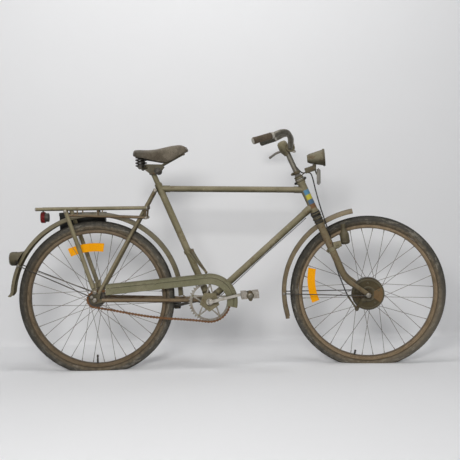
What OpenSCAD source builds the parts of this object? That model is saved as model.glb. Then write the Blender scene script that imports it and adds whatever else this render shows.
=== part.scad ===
// Army roadster bicycle with a carrier, mudguards, drum front brake and bottle dynamo.
// X runs forward, Y to the rider's left, Z up. The origin is the rider's seat point on the saddle top.

/* [Wheels] */
// distance between the two axles
wheelbase = 1141; // [1110:1:1170]
// outer radius of the rims
rim_r = 291; // [280:0.5:300]
// height of the tyres over the edge of the rims
tyre_h = 34.5; // [32:0.5:37]
// how far the soft tyres flatten at the floor
tyre_sag = 23.5; // [18:0.5:26]
// width of the tyres
tyre_w = 40; // [38:0.5:42]
// radial depth of the rims
rim_depth = 17; // [15:0.5:19]
// spoke diameter
spoke_d = 2; // [1.8:0.1:2.6]

/* [Frame] */
// bottom bracket distance ahead of the rear mudguard
bb_room = 110; // [104:1:118]
// bottom bracket drop below the axle line
bb_drop = 18; // [14:1:22]
// seat tube angle to the ground
seat_angle = 67.3; // [66.5:0.1:68]
// bottom bracket to top tube along the seat tube
seat_len = 512; // [502:1:520]
// head tube angle to the ground
head_angle = 66; // [65.5:0.1:66.5]
// fork offset ahead of the steering line
fork_rake = 59; // [55:1:63]
// top tube diameter
top_d = 25.4; // [22:0.2:27]
// down tube and seat tube diameter
main_d = 28.6; // [27:0.2:29.4]
// head tube length
head_len = 138; // [130:1:146]
// head tube diameter
head_d = 33; // [32:0.5:34]
// chain stay diameter
chain_stay_d = 17; // [15:0.5:18]
// seat stay diameter
seat_stay_d = 15; // [13:0.5:16]
// play of tubes in their lugs
lug_gap = 0.2; // [0.1:0.05:0.4]

/* [Steering] */
// steering angle at rest, negative to the right
steer_rest = -8; // [-12:1:0]
// handlebar tube diameter
bar_d = 22; // [20:0.5:23]
// handlebar grip diameter
grip_d = 27; // [26:0.5:30]

/* [Drive] */
// chainwheel teeth
ring_teeth = 42; // [40:1:43]
// rear sprocket teeth
cog_teeth = 16; // [15:1:17]
// chain links, two per chain pitch pair
chain_links = 104; // [104:2:106]
// distance of the chain line from the middle plane
chain_y = 50; // [49:0.5:51]
// crank length
crank_len = 167; // [162:1:172]
// angle of the right crank above level
crank_angle = 12.6; // [0:0.1:20]

/* [Carrier and guards] */
// half width of the mudguards
guard_half = 27; // [25:0.5:27.5]
// distance from the tyre tread to the mudguard crown
guard_gap = 36.5; // [33:0.5:40]
// carrier rail diameter
rail_d = 14.6; // [12:0.2:16]
// half spacing of the carrier rails
rail_y = 68; // [66:0.5:70]
// thickness of the mudguard sheet
sheet_t = 1.6; // [1.2:0.1:2]

/* [Hidden] */
$fn = 40;
gap = 0.3;
tyre_r = rim_r + tyre_h;
axle_h = tyre_r - tyre_sag;
guard_r = tyre_r + guard_gap;
bb_x = guard_r + bb_room;
bb = [bb_x, 0, -bb_drop];
seat_dir = [-cos(seat_angle), 0, sin(seat_angle)];
seat_back = [-sin(seat_angle), 0, -cos(seat_angle)];
seat_node = bb + seat_dir * seat_len;
axle_f = [wheelbase, 0, 0];
up_dir = [-cos(head_angle), 0, sin(head_angle)];
fwd_dir = [sin(head_angle), 0, cos(head_angle)];
steer_foot = axle_f - fwd_dir * fork_rake;
crown_t = guard_r + 4;
head_lo = crown_t + 38;
head_hi = head_lo + head_len;
bar_t = head_hi + 149;
crown_foot = sqrt((guard_r + 0.6) * (guard_r + 0.6) - fork_rake * fork_rake);
top_joint = ax(head_hi - 36);
down_joint = ax(head_lo + 25);
lug_start = 24;
rider = [225, 0, 615.5];
rim_in = rim_r - rim_depth;
drop_y = 60;
drop_t = 6;
drop_a = 24;
stay_seat_lo = [15, 0, 25];
boss_r = 8;
boss = seat_node + seat_back * (main_d / 2 + 6.5) + seat_dir * 2;
chain_p = 12.7;
ring_r = chain_p / (2 * sin(180 / ring_teeth));
cog_r = chain_p / (2 * sin(180 / cog_teeth));
chain_l = norm(bb);
chain_tilt = atan2(-bb_drop, bb_x);
chain_b = asin((ring_r - cog_r) / chain_l);
chain_t = sqrt(chain_l * chain_l - (ring_r - cog_r) * (ring_r - cog_r));
arc_big = ring_r * (180 + 2 * chain_b) * PI / 180;
arc_small = cog_r * (180 - 2 * chain_b) * PI / 180;
chain_loop = 2 * chain_t + arc_big + arc_small;
link_p = chain_loop / chain_links;
rack_tilt = 0.36;
rack_z = guard_r + 22.3 - rail_d / 2;
guard_in = guard_r - 18;
rack_nose = stay_at(1, guard_r + 30)[0] + 12;
pin_top = seat_node + seat_dir * 85;

function ax(t, f = 0, y = 0) = steer_foot + up_dir * t + fwd_dir * f + [0, y, 0];
function unit(v) = v / norm(v);
function along(p, q, d) = p + unit(q - p) * d;
function mirror_y(p) = [p[0], -p[1], p[2]];
function polar(r, a, y = 0) = [r * cos(a), y, r * sin(a)];
function by_bar(x, y, z) = bar_mid + [x, y, z];
function by_head(x, z) = ax(head_hi) + [x, 0, z];
function by_seat(x, y, z) = pin_top + [x, y, z];
function stay_at(y, d) = along(seat_stay_a(y), seat_stay_b(y), d);
function rack_pt(x, y, dz = 0) = [x, y, rack_z - x * tan(rack_tilt) + dz];

// point on a smooth curve through four neighbours
function curve_pt(a, b, c, d, t) =
    0.5 * (2 * b + (c - a) * t + (2 * a - 5 * b + 4 * c - d) * t * t
    + (3 * b - a - 3 * c + d) * t * t * t);
function smooth(p, k) = concat(
    [for (i = [0:len(p) - 2], j = [0:k - 1])
        curve_pt(p[max(i - 1, 0)], p[i], p[i + 1], p[min(i + 2, len(p) - 1)], j / k)],
    [p[len(p) - 1]]);

// chain pitch line in the plane of the two sprockets, by length along it
function chain_flat(s) =
    s < chain_t ? cog_r * [-sin(chain_b), cos(chain_b)] + s * [cos(chain_b), sin(chain_b)] :
    s < chain_t + arc_big ?
        [chain_l, 0] + ring_r * [cos(chain_arc1(s)), sin(chain_arc1(s))] :
    s < 2 * chain_t + arc_big ?
        [chain_l, 0] + ring_r * [-sin(chain_b), -cos(chain_b)]
        + (s - chain_t - arc_big) * [-cos(chain_b), sin(chain_b)] :
        cog_r * [cos(chain_arc2(s)), sin(chain_arc2(s))];
function chain_arc1(s) = 90 + chain_b - (s - chain_t) / ring_r * 180 / PI;
function chain_arc2(s) = -90 - chain_b - (s - 2 * chain_t - arc_big) / cog_r * 180 / PI;
function chain_out(s) =
    s < chain_t ? [-sin(chain_b), cos(chain_b)] :
    s < chain_t + arc_big ? [cos(chain_arc1(s)), sin(chain_arc1(s))] :
    s < 2 * chain_t + arc_big ? [-sin(chain_b), -cos(chain_b)] :
        [cos(chain_arc2(s)), sin(chain_arc2(s))];

// moves a piece drawn from the rear axle to the rider's frame
module placed() {
    translate(-rider)
        children();
}

// turns a piece of the steering by its rest angle
module steered() {
    placed()
        translate(steer_foot)
            rotate(a = steer_rest, v = up_dir)
                translate(-steer_foot)
                    children();
}

// round bar between two points
module rod(p, q, r, r2 = -1) {
    d = q - p;
    h = norm(d);
    translate(p)
        rotate([0, acos(d[2] / h), atan2(d[1], d[0])])
            cylinder(h = h, r1 = r, r2 = r2 < 0 ? r : r2);
}

// bar across the bike at a point in the middle plane
module cross_bar(p, y0, y1, r) {
    translate([p[0], y0, p[2]])
        rotate([-90, 0, 0])
            cylinder(h = y1 - y0, r = r);
}

// flat shape drawn in X and Z, with thickness along Y
module sheet(y0, y1) {
    translate([0, y1, 0])
        rotate([90, 0, 0])
            linear_extrude(height = y1 - y0)
                children();
}

// ring of a section around the Y axis through an arc
module spun(a0 = 0, a1 = 360) {
    rotate([90, 0, 0])
        rotate([0, 0, a0])
            rotate_extrude(angle = a1 - a0, $fn = 96)
                children();
}

// swept bar with an oval section, radii given point by point
module sweep(path, rad, up = [0, 1, 0], n = 12) {
    m = len(path);
    tang = [for (i = [0:m - 1]) unit(path[min(i + 1, m - 1)] - path[max(i - 1, 0)])];
    side = [for (i = [0:m - 1]) unit(cross(up, tang[i]))];
    nrm = [for (i = [0:m - 1]) cross(tang[i], side[i])];
    pts = [for (i = [0:m - 1], k = [0:n - 1])
        path[i] + side[i] * rad[min(i, len(rad) - 1)][0] * cos(360 * k / n)
        + nrm[i] * rad[min(i, len(rad) - 1)][1] * sin(360 * k / n)];
    walls = [for (i = [0:m - 2], k = [0:n - 1], h = [0:1])
        h == 0 ? [i * n + k, (i + 1) * n + k, i * n + (k + 1) % n] :
            [i * n + (k + 1) % n, (i + 1) * n + k, (i + 1) * n + (k + 1) % n]];
    caps = [[for (k = [0:n - 1]) k], [for (k = [n - 1:-1:0]) (m - 1) * n + k]];
    polyhedron(points = pts, faces = concat(walls, caps), convexity = 8);
}

// lug sleeve around a tube that starts at a joint
module sleeve(p, q, r, len) {
    rod(p, along(p, q, len), r);
}

// seat for the tube's flat end inside a lug
module socket(p, q, r) {
    rod(along(p, q, lug_start - gap), along(p, q, 90), r + lug_gap);
}

module head_tube() {
    color("olive")
        placed()
            difference() {
                union() {
                    rod(ax(head_lo), ax(head_hi), head_d / 2);
                    rod(ax(head_hi - 6), ax(head_hi + 7), head_d / 2 + 2.5);
                    rod(ax(head_lo - 5), ax(head_lo + 6), head_d / 2 + 2.5);
                    sleeve(top_joint, seat_node, top_d / 2 + 1.5, 44);
                    sleeve(down_joint, bb, main_d / 2 + 1.5, 46);
                }
                rod(ax(head_lo - 20), ax(head_hi + 20), 13.2);
                socket(top_joint, seat_node, top_d / 2);
                socket(down_joint, bb, main_d / 2);
            }
}

module top_tube() {
    color("olive")
        placed()
            rod(along(top_joint, seat_node, lug_start), along(seat_node, top_joint, lug_start), top_d / 2);
}

module down_tube() {
    color("olive")
        placed()
            rod(along(down_joint, bb, lug_start), along(bb, down_joint, lug_start + 2), main_d / 2);
}

module seat_tube() {
    color("olive")
        placed()
            difference() {
                union() {
                    rod(along(bb, seat_node, lug_start + 2), seat_node + seat_dir * 24, main_d / 2);
                    rod(seat_node - seat_dir * 24, seat_node + seat_dir * 20, main_d / 2 + 1.5);
                    sleeve(seat_node, top_joint, top_d / 2 + 1.5, 42);
                    cross_bar(boss, -33, 33, boss_r);
                }
                rod(seat_node - seat_dir * 90, seat_node + seat_dir * 40, 11.2);
                socket(seat_node, top_joint, top_d / 2);
            }
}

function chain_stay_a(y) = [bb_x - 26, y * 26, -bb_drop + 2];
function chain_stay_b(y) = [28, y * drop_y, -2];

module bottom_bracket() {
    color("olive")
        placed()
            difference() {
                union() {
                    cross_bar(bb, -36, 36, 21);
                    sleeve(bb, seat_node, main_d / 2 + 1.5, 44);
                    sleeve(bb, down_joint, main_d / 2 + 1.5, 46);
                    for (y = [-1, 1]) {
                        rod(chain_stay_a(y) + [14, 0, 0],
                            along(chain_stay_a(y), chain_stay_b(y), 20), chain_stay_d / 2 + 2);
                    }
                }
                cross_bar(bb, -40, 40, 8.7);
                rod(along(bb, seat_node, lug_start + 2 - gap), along(bb, seat_node, 90), main_d / 2 + lug_gap);
                rod(along(bb, down_joint, lug_start + 2 - gap), along(bb, down_joint, 90), main_d / 2 + lug_gap);
                for (y = [-1, 1]) {
                    rod(along(chain_stay_a(y), chain_stay_b(y), -gap),
                        along(chain_stay_a(y), chain_stay_b(y), 60), chain_stay_d / 2 + lug_gap);
                }
            }
}

module chain_stays() {
    bridge_x = guard_r + 11;
    k = (bb_x - 26 - bridge_x) / (bb_x - 54);
    bridge = chain_stay_a(0) * (1 - k) + chain_stay_b(0) * k;
    color("olive")
        placed()
            difference() {
                union() {
                    for (y = [-1, 1]) {
                        rod(chain_stay_a(y), chain_stay_b(y), chain_stay_d / 2);
                    }
                    cross_bar(bridge, -30, 30, 6);
                    rod(bridge, [guard_r + gap, 0, bridge[2] + 18], 3);
                }
                sheet(-drop_y - drop_t / 2 - gap, -40)
                    circle(r = 46);
                sheet(40, drop_y + drop_t / 2 + gap)
                    circle(r = 46);
            }
}

function seat_stay_a(y) = [stay_seat_lo[0], y * drop_y, stay_seat_lo[2]];
function seat_stay_b(y) = [boss[0], y * 24, boss[2]];
function seat_stay_len(y) = norm(seat_stay_b(y) - seat_stay_a(y));

module seat_stays() {
    bridge = stay_at(0, guard_r - 12);
    color("olive")
        placed()
            difference() {
                union() {
                    for (y = [-1, 1]) {
                        rod(seat_stay_a(y), along(seat_stay_a(y), seat_stay_b(y),
                            seat_stay_len(y) - 6), seat_stay_d / 2);
                    }
                    cross_bar(bridge, -30, 30, 5);
                    rod(bridge, unit(bridge) * (guard_r + gap), 3);
                }
                cross_bar(boss, -40, 40, boss_r + gap);
                sheet(-drop_y - drop_t / 2 - gap, -40)
                    circle(r = 54);
                sheet(40, drop_y + drop_t / 2 + gap)
                    circle(r = 54);
            }
}

// flat outline of a rear axle plate
module dropout_shape() {
    difference() {
        union() {
            circle(r = 18);
            polygon([[6, 13], [19, 42], [28, 37.5], [18, 4], [43.5, 2], [43.5, -9], [10, -14]]);
            translate([0, 32])
                circle(r = 8);
            polygon([[-8, 32], [-14, 8], [12, 10], [8, 32]]);
            translate([-13, 12])
                circle(r = 7);
        }
        circle(r = 5.2);
        translate([0, 32])
            circle(r = 3.3);
        translate([-13, 12])
            circle(r = 2.8);
    }
}

module rear_dropouts() {
    color("olive")
        placed()
            for (y = [-1, 1]) {
                sheet(y * drop_y - drop_t / 2, y * drop_y + drop_t / 2)
                    dropout_shape();
            }
}

module rear_axle() {
    nut_in = drop_y + drop_t / 2 + gap;
    color("dimgray")
        placed()
            union() {
                cross_bar([0, 0, 0], -84, 84, 4.9);
                for (y = [-1, 1]) {
                    sheet(min(y * nut_in, y * (nut_in + 9)), max(y * nut_in, y * (nut_in + 9)))
                        circle(r = 9.2, $fn = 6);
                }
            }
}

module seat_pin() {
    color("gray")
        placed()
            rod(seat_node - seat_dir * 70, seat_node + seat_dir * 99, 11);
}

// saddle clamp, side plates, wires and cantle
module saddle_frame() {
    color("darkolivegreen")
        placed()
            union() {
                difference() {
                    union() {
                        rod(seat_node + seat_dir * 69, seat_node + seat_dir * 101, 16);
                        cross_bar(pin_top + [4, 0, 4], -32, 32, 9);
                    }
                    rod(seat_node, seat_node + seat_dir * 99.3, 11.2);
                }
                for (y = [-1, 1]) {
                    sheet(min(y * 24, y * 29), max(y * 24, y * 29))
                        translate([pin_top[0], pin_top[2]])
                            polygon([[-27, 24], [45, 22], [52, 12], [29, -17], [-3, -19], [-28, 1]]);
                    rod(by_seat(-17, y * 26.5, 9), by_seat(-43, y * 55, 9), 4);
                    cross_bar(by_seat(-43, 0, 9), min(y * 38, y * 72), max(y * 38, y * 72), 4);
                    rod(by_seat(41, y * 26.5, 17), by_seat(133, y * 9, 65), 4);
                }
                cross_bar(by_seat(-43, 0, 57), -91.4, 91.4, 4);
                rod(by_seat(133, -12, 65), by_seat(133, 12, 65), 6);
                rod(by_seat(133, 0, 65), by_seat(133, 0, 90.8), 5);
            }
}

module saddle_springs() {
    turns = 4;
    n = 10;
    lo = 13.3 + 3;
    hi = 52.7 - 3;
    color("dimgray")
        placed()
            for (y = [-1, 1]) {
                sweep([for (i = [0:turns * n])
                    let (s = min(1, max(0, (i - 0.6 * n) / ((turns - 1.2) * n))))
                        by_seat(17 * cos(360 * i / n) - 43, y * 55 + 17 * sin(360 * i / n), lo + (hi - lo) * s)],
                    [[3, 3]], up = [0, 0, 1], n = 6);
            }
}

// saddle sections: station, half width, crown height, skirt height
saddle_rows = [
    [-71, 66, 73, 58],
    [-61, 92, 82, 53],
    [-43, 98, 83, 49],
    [-17, 94, 83, 45],
    [11, 78, 86, 39],
    [39, 54, 91, 33],
    [65, 38, 96, 33],
    [91, 29, 100, 45],
    [121, 25, 102, 61],
    [143, 20, 94, 71],
    [155, 10, 81, 74]];

// arch of one saddle section, pulled in by a wall thickness
function saddle_arch(row, wall, n) = [for (k = [0:n])
    let (a = 180 * k / n, hw = row[1] - wall, hi = row[2] - wall - row[3])
        by_seat(row[0], hw * sign(cos(a)) * pow(abs(cos(a)), 0.55), row[3] + hi * pow(sin(a), 0.62))];

module saddle_cover() {
    n = 14;
    wall = 4.5;
    rings = [for (row = saddle_rows)
        concat(saddle_arch(row, 0, n), [for (k = [n:-1:0]) saddle_arch(row, wall, n)[k]])];
    c = 2 * (n + 1);
    m = len(rings);
    pts = [for (r = rings, p = r) p];
    walls = [for (i = [0:m - 2], k = [0:c - 1], h = [0:1])
        h == 0 ? [i * c + k, i * c + (k + 1) % c, (i + 1) * c + k] :
            [i * c + (k + 1) % c, (i + 1) * c + (k + 1) % c, (i + 1) * c + k]];
    ends = [for (k = [0:n - 1], h = [0:3])
        let (z = (m - 1) * c)
            h == 0 ? [k, c - 1 - k, k + 1] :
            h == 1 ? [k + 1, c - 1 - k, c - 2 - k] :
            h == 2 ? [z + k, z + k + 1, z + c - 1 - k] :
                [z + k + 1, z + c - 2 - k, z + c - 1 - k]];
    color("saddlebrown")
        placed()
            polyhedron(points = pts, faces = concat(walls, ends), convexity = 8);
}

// carrier platform: station of each cross bar
rack_bars = [-222, -120, -10, 100, rack_nose - 38];

module rear_rack() {
    color("olive")
        placed()
            union() {
                for (y = [-1, 1]) {
                    rod(rack_pt(-228, y * rail_y), rack_pt(rack_nose, y * rail_y), rail_d / 2);
                }
                for (x = rack_bars) {
                    rod(rack_pt(x, -rail_y), rack_pt(x, rail_y), 5);
                }
            }
}

module rack_stays() {
    top_x = -113;
    eye = [0, 0, 32];
    color("olive")
        placed()
            for (y = [-1, 1]) {
                top = rack_pt(top_x, y * rail_y);
                foot = [-5, y * (rail_y + 3), 50];
                difference() {
                    union() {
                        rod(top, foot, 8.8);
                        sheet(min(y * 63.3, y * 68.3), max(y * 63.3, y * 68.3))
                            polygon([[-16, 66], [6, 72], [9, 32], [-9, 30]]);
                        cross_bar(eye, min(y * 63.3, y * 72), max(y * 63.3, y * 72), 6);
                        cross_bar(eye, min(y * 56, y * 72), max(y * 56, y * 72), 3);
                    }
                    rod(rack_pt(-228, y * rail_y), rack_pt(rack_nose, y * rail_y), rail_d / 2 + gap);
                    rod(rack_pt(-228, y * rail_y, 20), rack_pt(rack_nose, y * rail_y, 20), 20);
                }
            }
}

// low struts from the stays to the seat stays, with posts to the rails
module rack_struts() {
    color("olive")
        placed()
            for (y = [-1, 1]) {
                a = [-97, y * rail_y, rack_z - 25.7];
                b = [rack_nose - 3, y * 47, rack_z - 41.7];
                hold = stay_at(y, guard_r + 0.6);
                side = a + (b - a) * (hold[0] - a[0]) / (b[0] - a[0]);
                difference() {
                    union() {
                        rod(a, b, 5.2);
                        rod([b[0] - 4, b[1], b[2] - 5], [b[0] + 1, rail_y * y, rack_pt(b[0], 0)[2]], 4);
                        rod(side, hold, 4);
                        rod([-62, y * (rail_y - 2.3), rack_z - 27.5], rack_pt(-62, y * rail_y), 3);
                        rod([22, y * (rail_y - 8), rack_z - 31.7], rack_pt(22, y * rail_y), 3);
                    }
                    rod(rack_pt(-228, y * rail_y), rack_pt(240, y * rail_y), rail_d / 2 + gap);
                    rod(rack_pt(-113, y * rail_y), [-5, y * (rail_y + 3), 50], 9.1);
                    rod(seat_stay_a(y), seat_stay_b(y), seat_stay_d / 2 + gap);
                }
            }
}

// black box hung outside the far rail
module tool_box() {
    box_y = rail_y + rail_d / 2 + 4;
    color("black")
        placed()
            difference() {
                union() {
                    translate([-164, box_y, rack_z - 119.7])
                        cube([195, 46, 101]);
                    translate([-166, box_y - 1.5, rack_z - 32.7])
                        cube([199, 49, 17]);
                    for (x = [-142, -4]) {
                        translate([x, rail_y + rail_d / 2 - 1, rack_z - 34.7])
                            cube([16, 9, 37]);
                    }
                }
                rod(rack_pt(-240, rail_y), rack_pt(240, rail_y), rail_d / 2 + gap);
                rod(rack_pt(-113, rail_y), [-5, rail_y + 3, 50], 9.6);
            }
}

module rear_reflector() {
    top = rack_pt(-222, 0);
    low = rack_z - 33.7;
    color("firebrick")
        placed()
            difference() {
                union() {
                    rod([-222, 0, low], [-207, 0, low], 22);
                    rod([-207, 0, low], [-192, 0, low], 18);
                    translate([-217, -7, low + 9])
                        cube([5, 14, top[2] - low - 9]);
                }
                rod(rack_pt(-222, -rail_y), rack_pt(-222, rail_y), 5 + gap);
            }
}

// mudguard section: a thin arch
module guard_profile() {
    c = guard_half + 2;
    intersection() {
        translate([guard_r - c, 0])
            difference() {
                circle(r = c, $fn = 64);
                circle(r = c - sheet_t, $fn = 64);
            }
        translate([guard_in, -guard_half])
            square([30, 2 * guard_half]);
    }
}

module rear_mudguard() {
    color("olive")
        placed()
            spun(0.8, 174.5)
                guard_profile();
}

module rear_mudguard_stays() {
    hold = polar(guard_in + 7, 155.4);
    eye = [-13, 0, 12];
    edge = guard_half + 1.6;
    color("gray")
        placed()
            for (y = [-1, 1]) {
                union() {
                    rod([eye[0], y * 66.4, eye[2]], [hold[0], y * (edge + 2.2), hold[2]], 2.2);
                    cross_bar(hold, min(y * (edge - 2.3), y * (edge + 5)), max(y * (edge - 2.3), y * (edge + 5)), 3.2);
                    cross_bar(eye, min(y * 63.3, y * 70), max(y * 63.3, y * 70), 5.5);
                    cross_bar(eye, min(y * 54, y * 70), max(y * 54, y * 70), 2.5);
                }
            }
}

module tail_lamp() {
    lamp = polar(guard_r + 12, 152.4);
    color("darkolivegreen")
        placed()
            difference() {
                union() {
                    rod(lamp - [24, 0, 0], lamp - [19, 0, 0], 26, 29);
                    rod(lamp - [19, 0, 0], lamp + [2, 0, 0], 29);
                    rod(lamp + [2, 0, 0], lamp + [36, 0, 17], 29, 15);
                }
                spun()
                    translate([guard_r - 160, -60])
                        square([160 + gap, 120]);
            }
}

// flat outline of the chain guard
module guard_band(r_out, r_in, top, low) {
    difference() {
        union() {
            intersection() {
                translate([bb_x, -bb_drop])
                    circle(r = r_out, $fn = 96);
                polygon([[bb_x, -bb_drop], [bb_x + 300, -bb_drop - 76], [bb_x + 300, 300],
                    [bb_x - 22, 300]]);
            }
            polygon([[44, low], [44, top - 9], [51, top + 0.5], [bb_x - 10, -bb_drop + r_out - 1],
                [bb_x + 4, -bb_drop + r_in - 4], [bb_x - 8, -bb_drop + r_in]]);
        }
        translate([bb_x, -bb_drop])
            circle(r = r_in, $fn = 96);
    }
}

module chain_guard() {
    r_out = ring_r + 31;
    r_in = ring_r - 11;
    color("olive")
        placed()
            union() {
                sheet(-64, -62.8)
                    guard_band(r_out, r_in, 63, 19);
                sheet(-63, -41)
                    difference() {
                        guard_band(r_out, r_in, 63, 19);
                        guard_band(r_out - 1.4, r_in - 20, 61.6, -40);
                        translate([0, -60])
                            square([60, 120]);
                    }
            }
}

module chain_guard_bracket() {
    hold = bb + seat_dir * 224;
    r_out = ring_r + 31;
    foot = [bb_x - 12, -52, -bb_drop + sqrt(r_out * r_out - 64) + gap];
    knee = foot + [0, 0, 6];
    color("olive")
        placed()
            difference() {
                union() {
                    rod(hold - seat_dir * 7, hold + seat_dir * 7, main_d / 2 + 3.4);
                    rod(hold + [0, -12, 0], knee, 4);
                    rod(foot, knee, 4.6);
                    translate(knee)
                        sphere(r = 6);
                }
                rod(bb, seat_node, main_d / 2 + lug_gap);
            }
}

// one side row of the chain, wide at the pins and slim between them
module chain_row() {
    n = 2 * chain_links;
    rotate(chain_tilt)
        difference() {
            polygon([for (i = [0:n - 1])
                chain_flat(i * link_p / 2) + chain_out(i * link_p / 2) * (i % 2 == 0 ? 4.3 : 3.2)]);
            polygon([for (i = [0:n - 1])
                chain_flat(i * link_p / 2) - chain_out(i * link_p / 2) * (i % 2 == 0 ? 4.3 : 3.2)]);
        }
}

module chain() {
    free_pins = floor(chain_t / link_p) - 3;
    low_start = ceil((chain_t + arc_big) / link_p) + 3;
    color("sienna")
        placed()
            union() {
                for (y = [2, -3.3]) {
                    sheet(-chain_y + y, -chain_y + y + 1.3)
                        chain_row();
                }
                sheet(-chain_y - 2.6, -chain_y + 2.6)
                    rotate(chain_tilt)
                        for (i = [2:3:free_pins]) {
                            translate(chain_flat(i * link_p))
                                circle(r = 3, $fn = 8);
                            translate(chain_flat((low_start + i - 2) * link_p))
                                circle(r = 3, $fn = 8);
                        }
            }
}

// toothed ring outline
module teeth(count, pitch_r) {
    root = pitch_r - 4.2;
    tip = pitch_r + 3.2;
    polygon([for (i = [0:count - 1], k = [0:3])
        let (a = 360 / count * (i + [0, 0.34, 0.44, 0.9][k] + 0.28),
            r = [root, root, tip, tip][(k + 1) % 4])
            [r * cos(a), r * sin(a)]]);
}

module fork_crown() {
    color("olive")
        steered()
            difference() {
                union() {
                    rod(ax(crown_t), ax(head_hi + 22), 12.6);
                    rod(ax(head_hi + 7 + gap), ax(head_hi + 22), 18);
                    rod(ax(crown_t + 14), ax(head_lo - 5 - gap), 16.5);
                    for (t = [18, 24, 29.5]) {
                        rod(ax(crown_t + t), ax(crown_t + t + 3), 19.5);
                    }
                    translate(ax(crown_t))
                        rotate([0, 90 - head_angle, 180])
                            linear_extrude(height = 17)
                                union() {
                                    translate([0, 45])
                                        circle(r = 17);
                                    translate([0, -45])
                                        circle(r = 17);
                                    translate([-14, -45])
                                        square([28, 90]);
                                }
                    rod(ax(crown_foot), ax(crown_t + 2), 3);
                }
                rod(ax(head_hi - 60), ax(head_hi + 60), 11.2);
            }
}

// centre line of a fork blade
function blade_path(y) = concat(
    [ax(crown_t - 0.4, 0, y * 45), ax(300, 0, y * 47.3), ax(220, 0, y * 50.2), ax(134, 0, y * 53)],
    [for (k = [1:5])
        let (s = k / 6, t = (1 - s) * (1 - s) * 128 + 2 * s * (1 - s) * 96 + s * s * 73,
            f = s * s * fork_rake * 0.24)
            ax(t, f, y * (58 - t * 0.038))],
    [ax(73, fork_rake * 0.24, y * 56), ax(44, fork_rake * 0.54, y * 58), ax(22, fork_rake * 0.77, y * 58),
        ax(-9, fork_rake * 1.094, y * 58)]);

module fork_blades() {
    rad = [[9.5, 16], [9.5, 15.5], [9.2, 14.5], [9, 13.2], [9, 12.8], [9, 12.6], [9, 12.4], [8.8, 12.2],
        [8.6, 12], [8, 11.6], [7, 10.5], [3, 10], [3, 9]];
    color("olive")
        steered()
            difference() {
                for (y = [-1, 1]) {
                    sweep(blade_path(y), [for (r = rad) [r[1], r[0]]], up = [0, 1, 0], n = 16);
                }
                cross_bar(axle_f, -90, 90, 5.2);
            }
}

module front_axle() {
    color("dimgray")
        steered()
            union() {
                cross_bar(axle_f, -76, 76, 4.8);
                for (y = [-1, 1]) {
                    translate(axle_f)
                        sheet(min(y * 61.4, y * 69.4), max(y * 61.4, y * 69.4))
                            circle(r = 8.6, $fn = 6);
                }
            }
}

module front_brake_plate() {
    color("darkolivegreen")
        steered()
            difference() {
                union() {
                    cross_bar(axle_f, -45, -41, 66);
                    cross_bar(axle_f, -54.6, -44, 12);
                    translate(axle_f)
                        sheet(-50.5, -44.5)
                            rotate(232)
                                polygon([[24, -9], [84, -6], [84, 6], [24, 9]]);
                    translate(axle_f)
                        sheet(-54, -44.5)
                            rotate(232)
                                translate([78, 0])
                                    circle(r = 6);
                }
                cross_bar(axle_f, -80, 80, 5.1);
            }
}

module stem() {
    color("gray")
        steered()
            difference() {
                union() {
                    rod(ax(head_hi - 40), ax(bar_t + 7), 11);
                    rod(ax(bar_t), bar_mid, 12);
                    rod(ax(bar_t - 15), ax(bar_t + 13), 14);
                    cross_bar(bar_mid, -24, 24, 17);
                }
                cross_bar(bar_mid, -40, 40, bar_d / 2 + 0.2);
            }
}

bar_mid = ax(bar_t, 21);
grip_a = by_bar(-56.7, 230, 49.9);
grip_b = by_bar(-134.7, 271, 27.9);

// right or left half of the bar from the clamp to the end of the grip
function bar_half(y) = [for (p = concat([bar_mid],
    smooth([by_bar(0, 27, 0), by_bar(1, 72, 13), by_bar(1, 122, 40), by_bar(-10, 170, 59),
        by_bar(-33, 205, 60), grip_a], 4), [grip_b])) [p[0], y * p[1], p[2]]];

module handlebar() {
    right = bar_half(-1);
    left = bar_half(1);
    path = concat([for (i = [len(right) - 1:-1:0]) right[i]], [for (i = [1:len(left) - 1]) left[i]]);
    color("gray")
        steered()
            sweep(path, [[bar_d / 2, bar_d / 2]], up = [0.35, 0, 1], n = 14);
}

module grips() {
    color("saddlebrown")
        steered()
            for (y = [-1, 1]) {
                a = [grip_a[0], y * grip_a[1], grip_a[2]];
                b = [grip_b[0], y * grip_b[1], grip_b[2]];
                difference() {
                    rod(along(a, b, 3), along(b, a, -5), grip_d / 2);
                    rod(along(a, b, -20), along(b, a, -gap), bar_d / 2 + 0.3);
                }
            }
}

module brake_lever() {
    low = by_bar(0.4, 44, 4.3);
    high = by_bar(0.9, 68, 11.7);
    color("gray")
        steered()
            difference() {
                union() {
                    rod(low, high, 15);
                    rod(by_bar(-6.7, 57, -6.1), by_bar(-28.7, 64, -14.1), 6);
                    rod(by_bar(-28.7, 64, -14.1), by_bar(-92.7, 148, -40.1), 4.2);
                    translate(by_bar(-92.7, 148, -40.1))
                        sphere(r = 6.5);
                }
                rod(along(low, high, -20), along(high, low, -20), 12.2);
            }
}

module brake_cable() {
    path = smooth([by_bar(-17.7, 67.7, -16.3), by_bar(-6.7, 44, -40.1), by_bar(21.3, 24, -80.1),
        by_bar(47.3, 20, -106.1), by_bar(71.3, 17, -105.1), by_bar(87.3, 14, -118.1), by_bar(102.3, 4, -178.1),
        by_bar(120.3, -22, -246.1), ax(crown_t - 28, 22, -44), ax(290, 17, -40), ax(250, 4, -33),
        ax(200, -9, -34), ax(150, -15, -38), ax(108, -18, -46), axle_f + [-85, -52, -4],
        axle_f + [-51.3, -53.4, -56]], 3);
    color("black")
        steered()
            difference() {
                sweep(path, [[2.6, 2.6]], up = [0.3, 1, 0.2], n = 8);
                rod(by_bar(-6.7, 57, -6.1), by_bar(-28.7, 64, -14.1), 6.3);
                rod(by_bar(-28.7, 64, -14.1), by_bar(-92.7, 148, -40.1), 4.6);
            }
}

lamp_a = by_head(96, 101.3);
lamp_b = by_head(119, 102.8);

lamp_back = by_head(36, 97.2);

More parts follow.
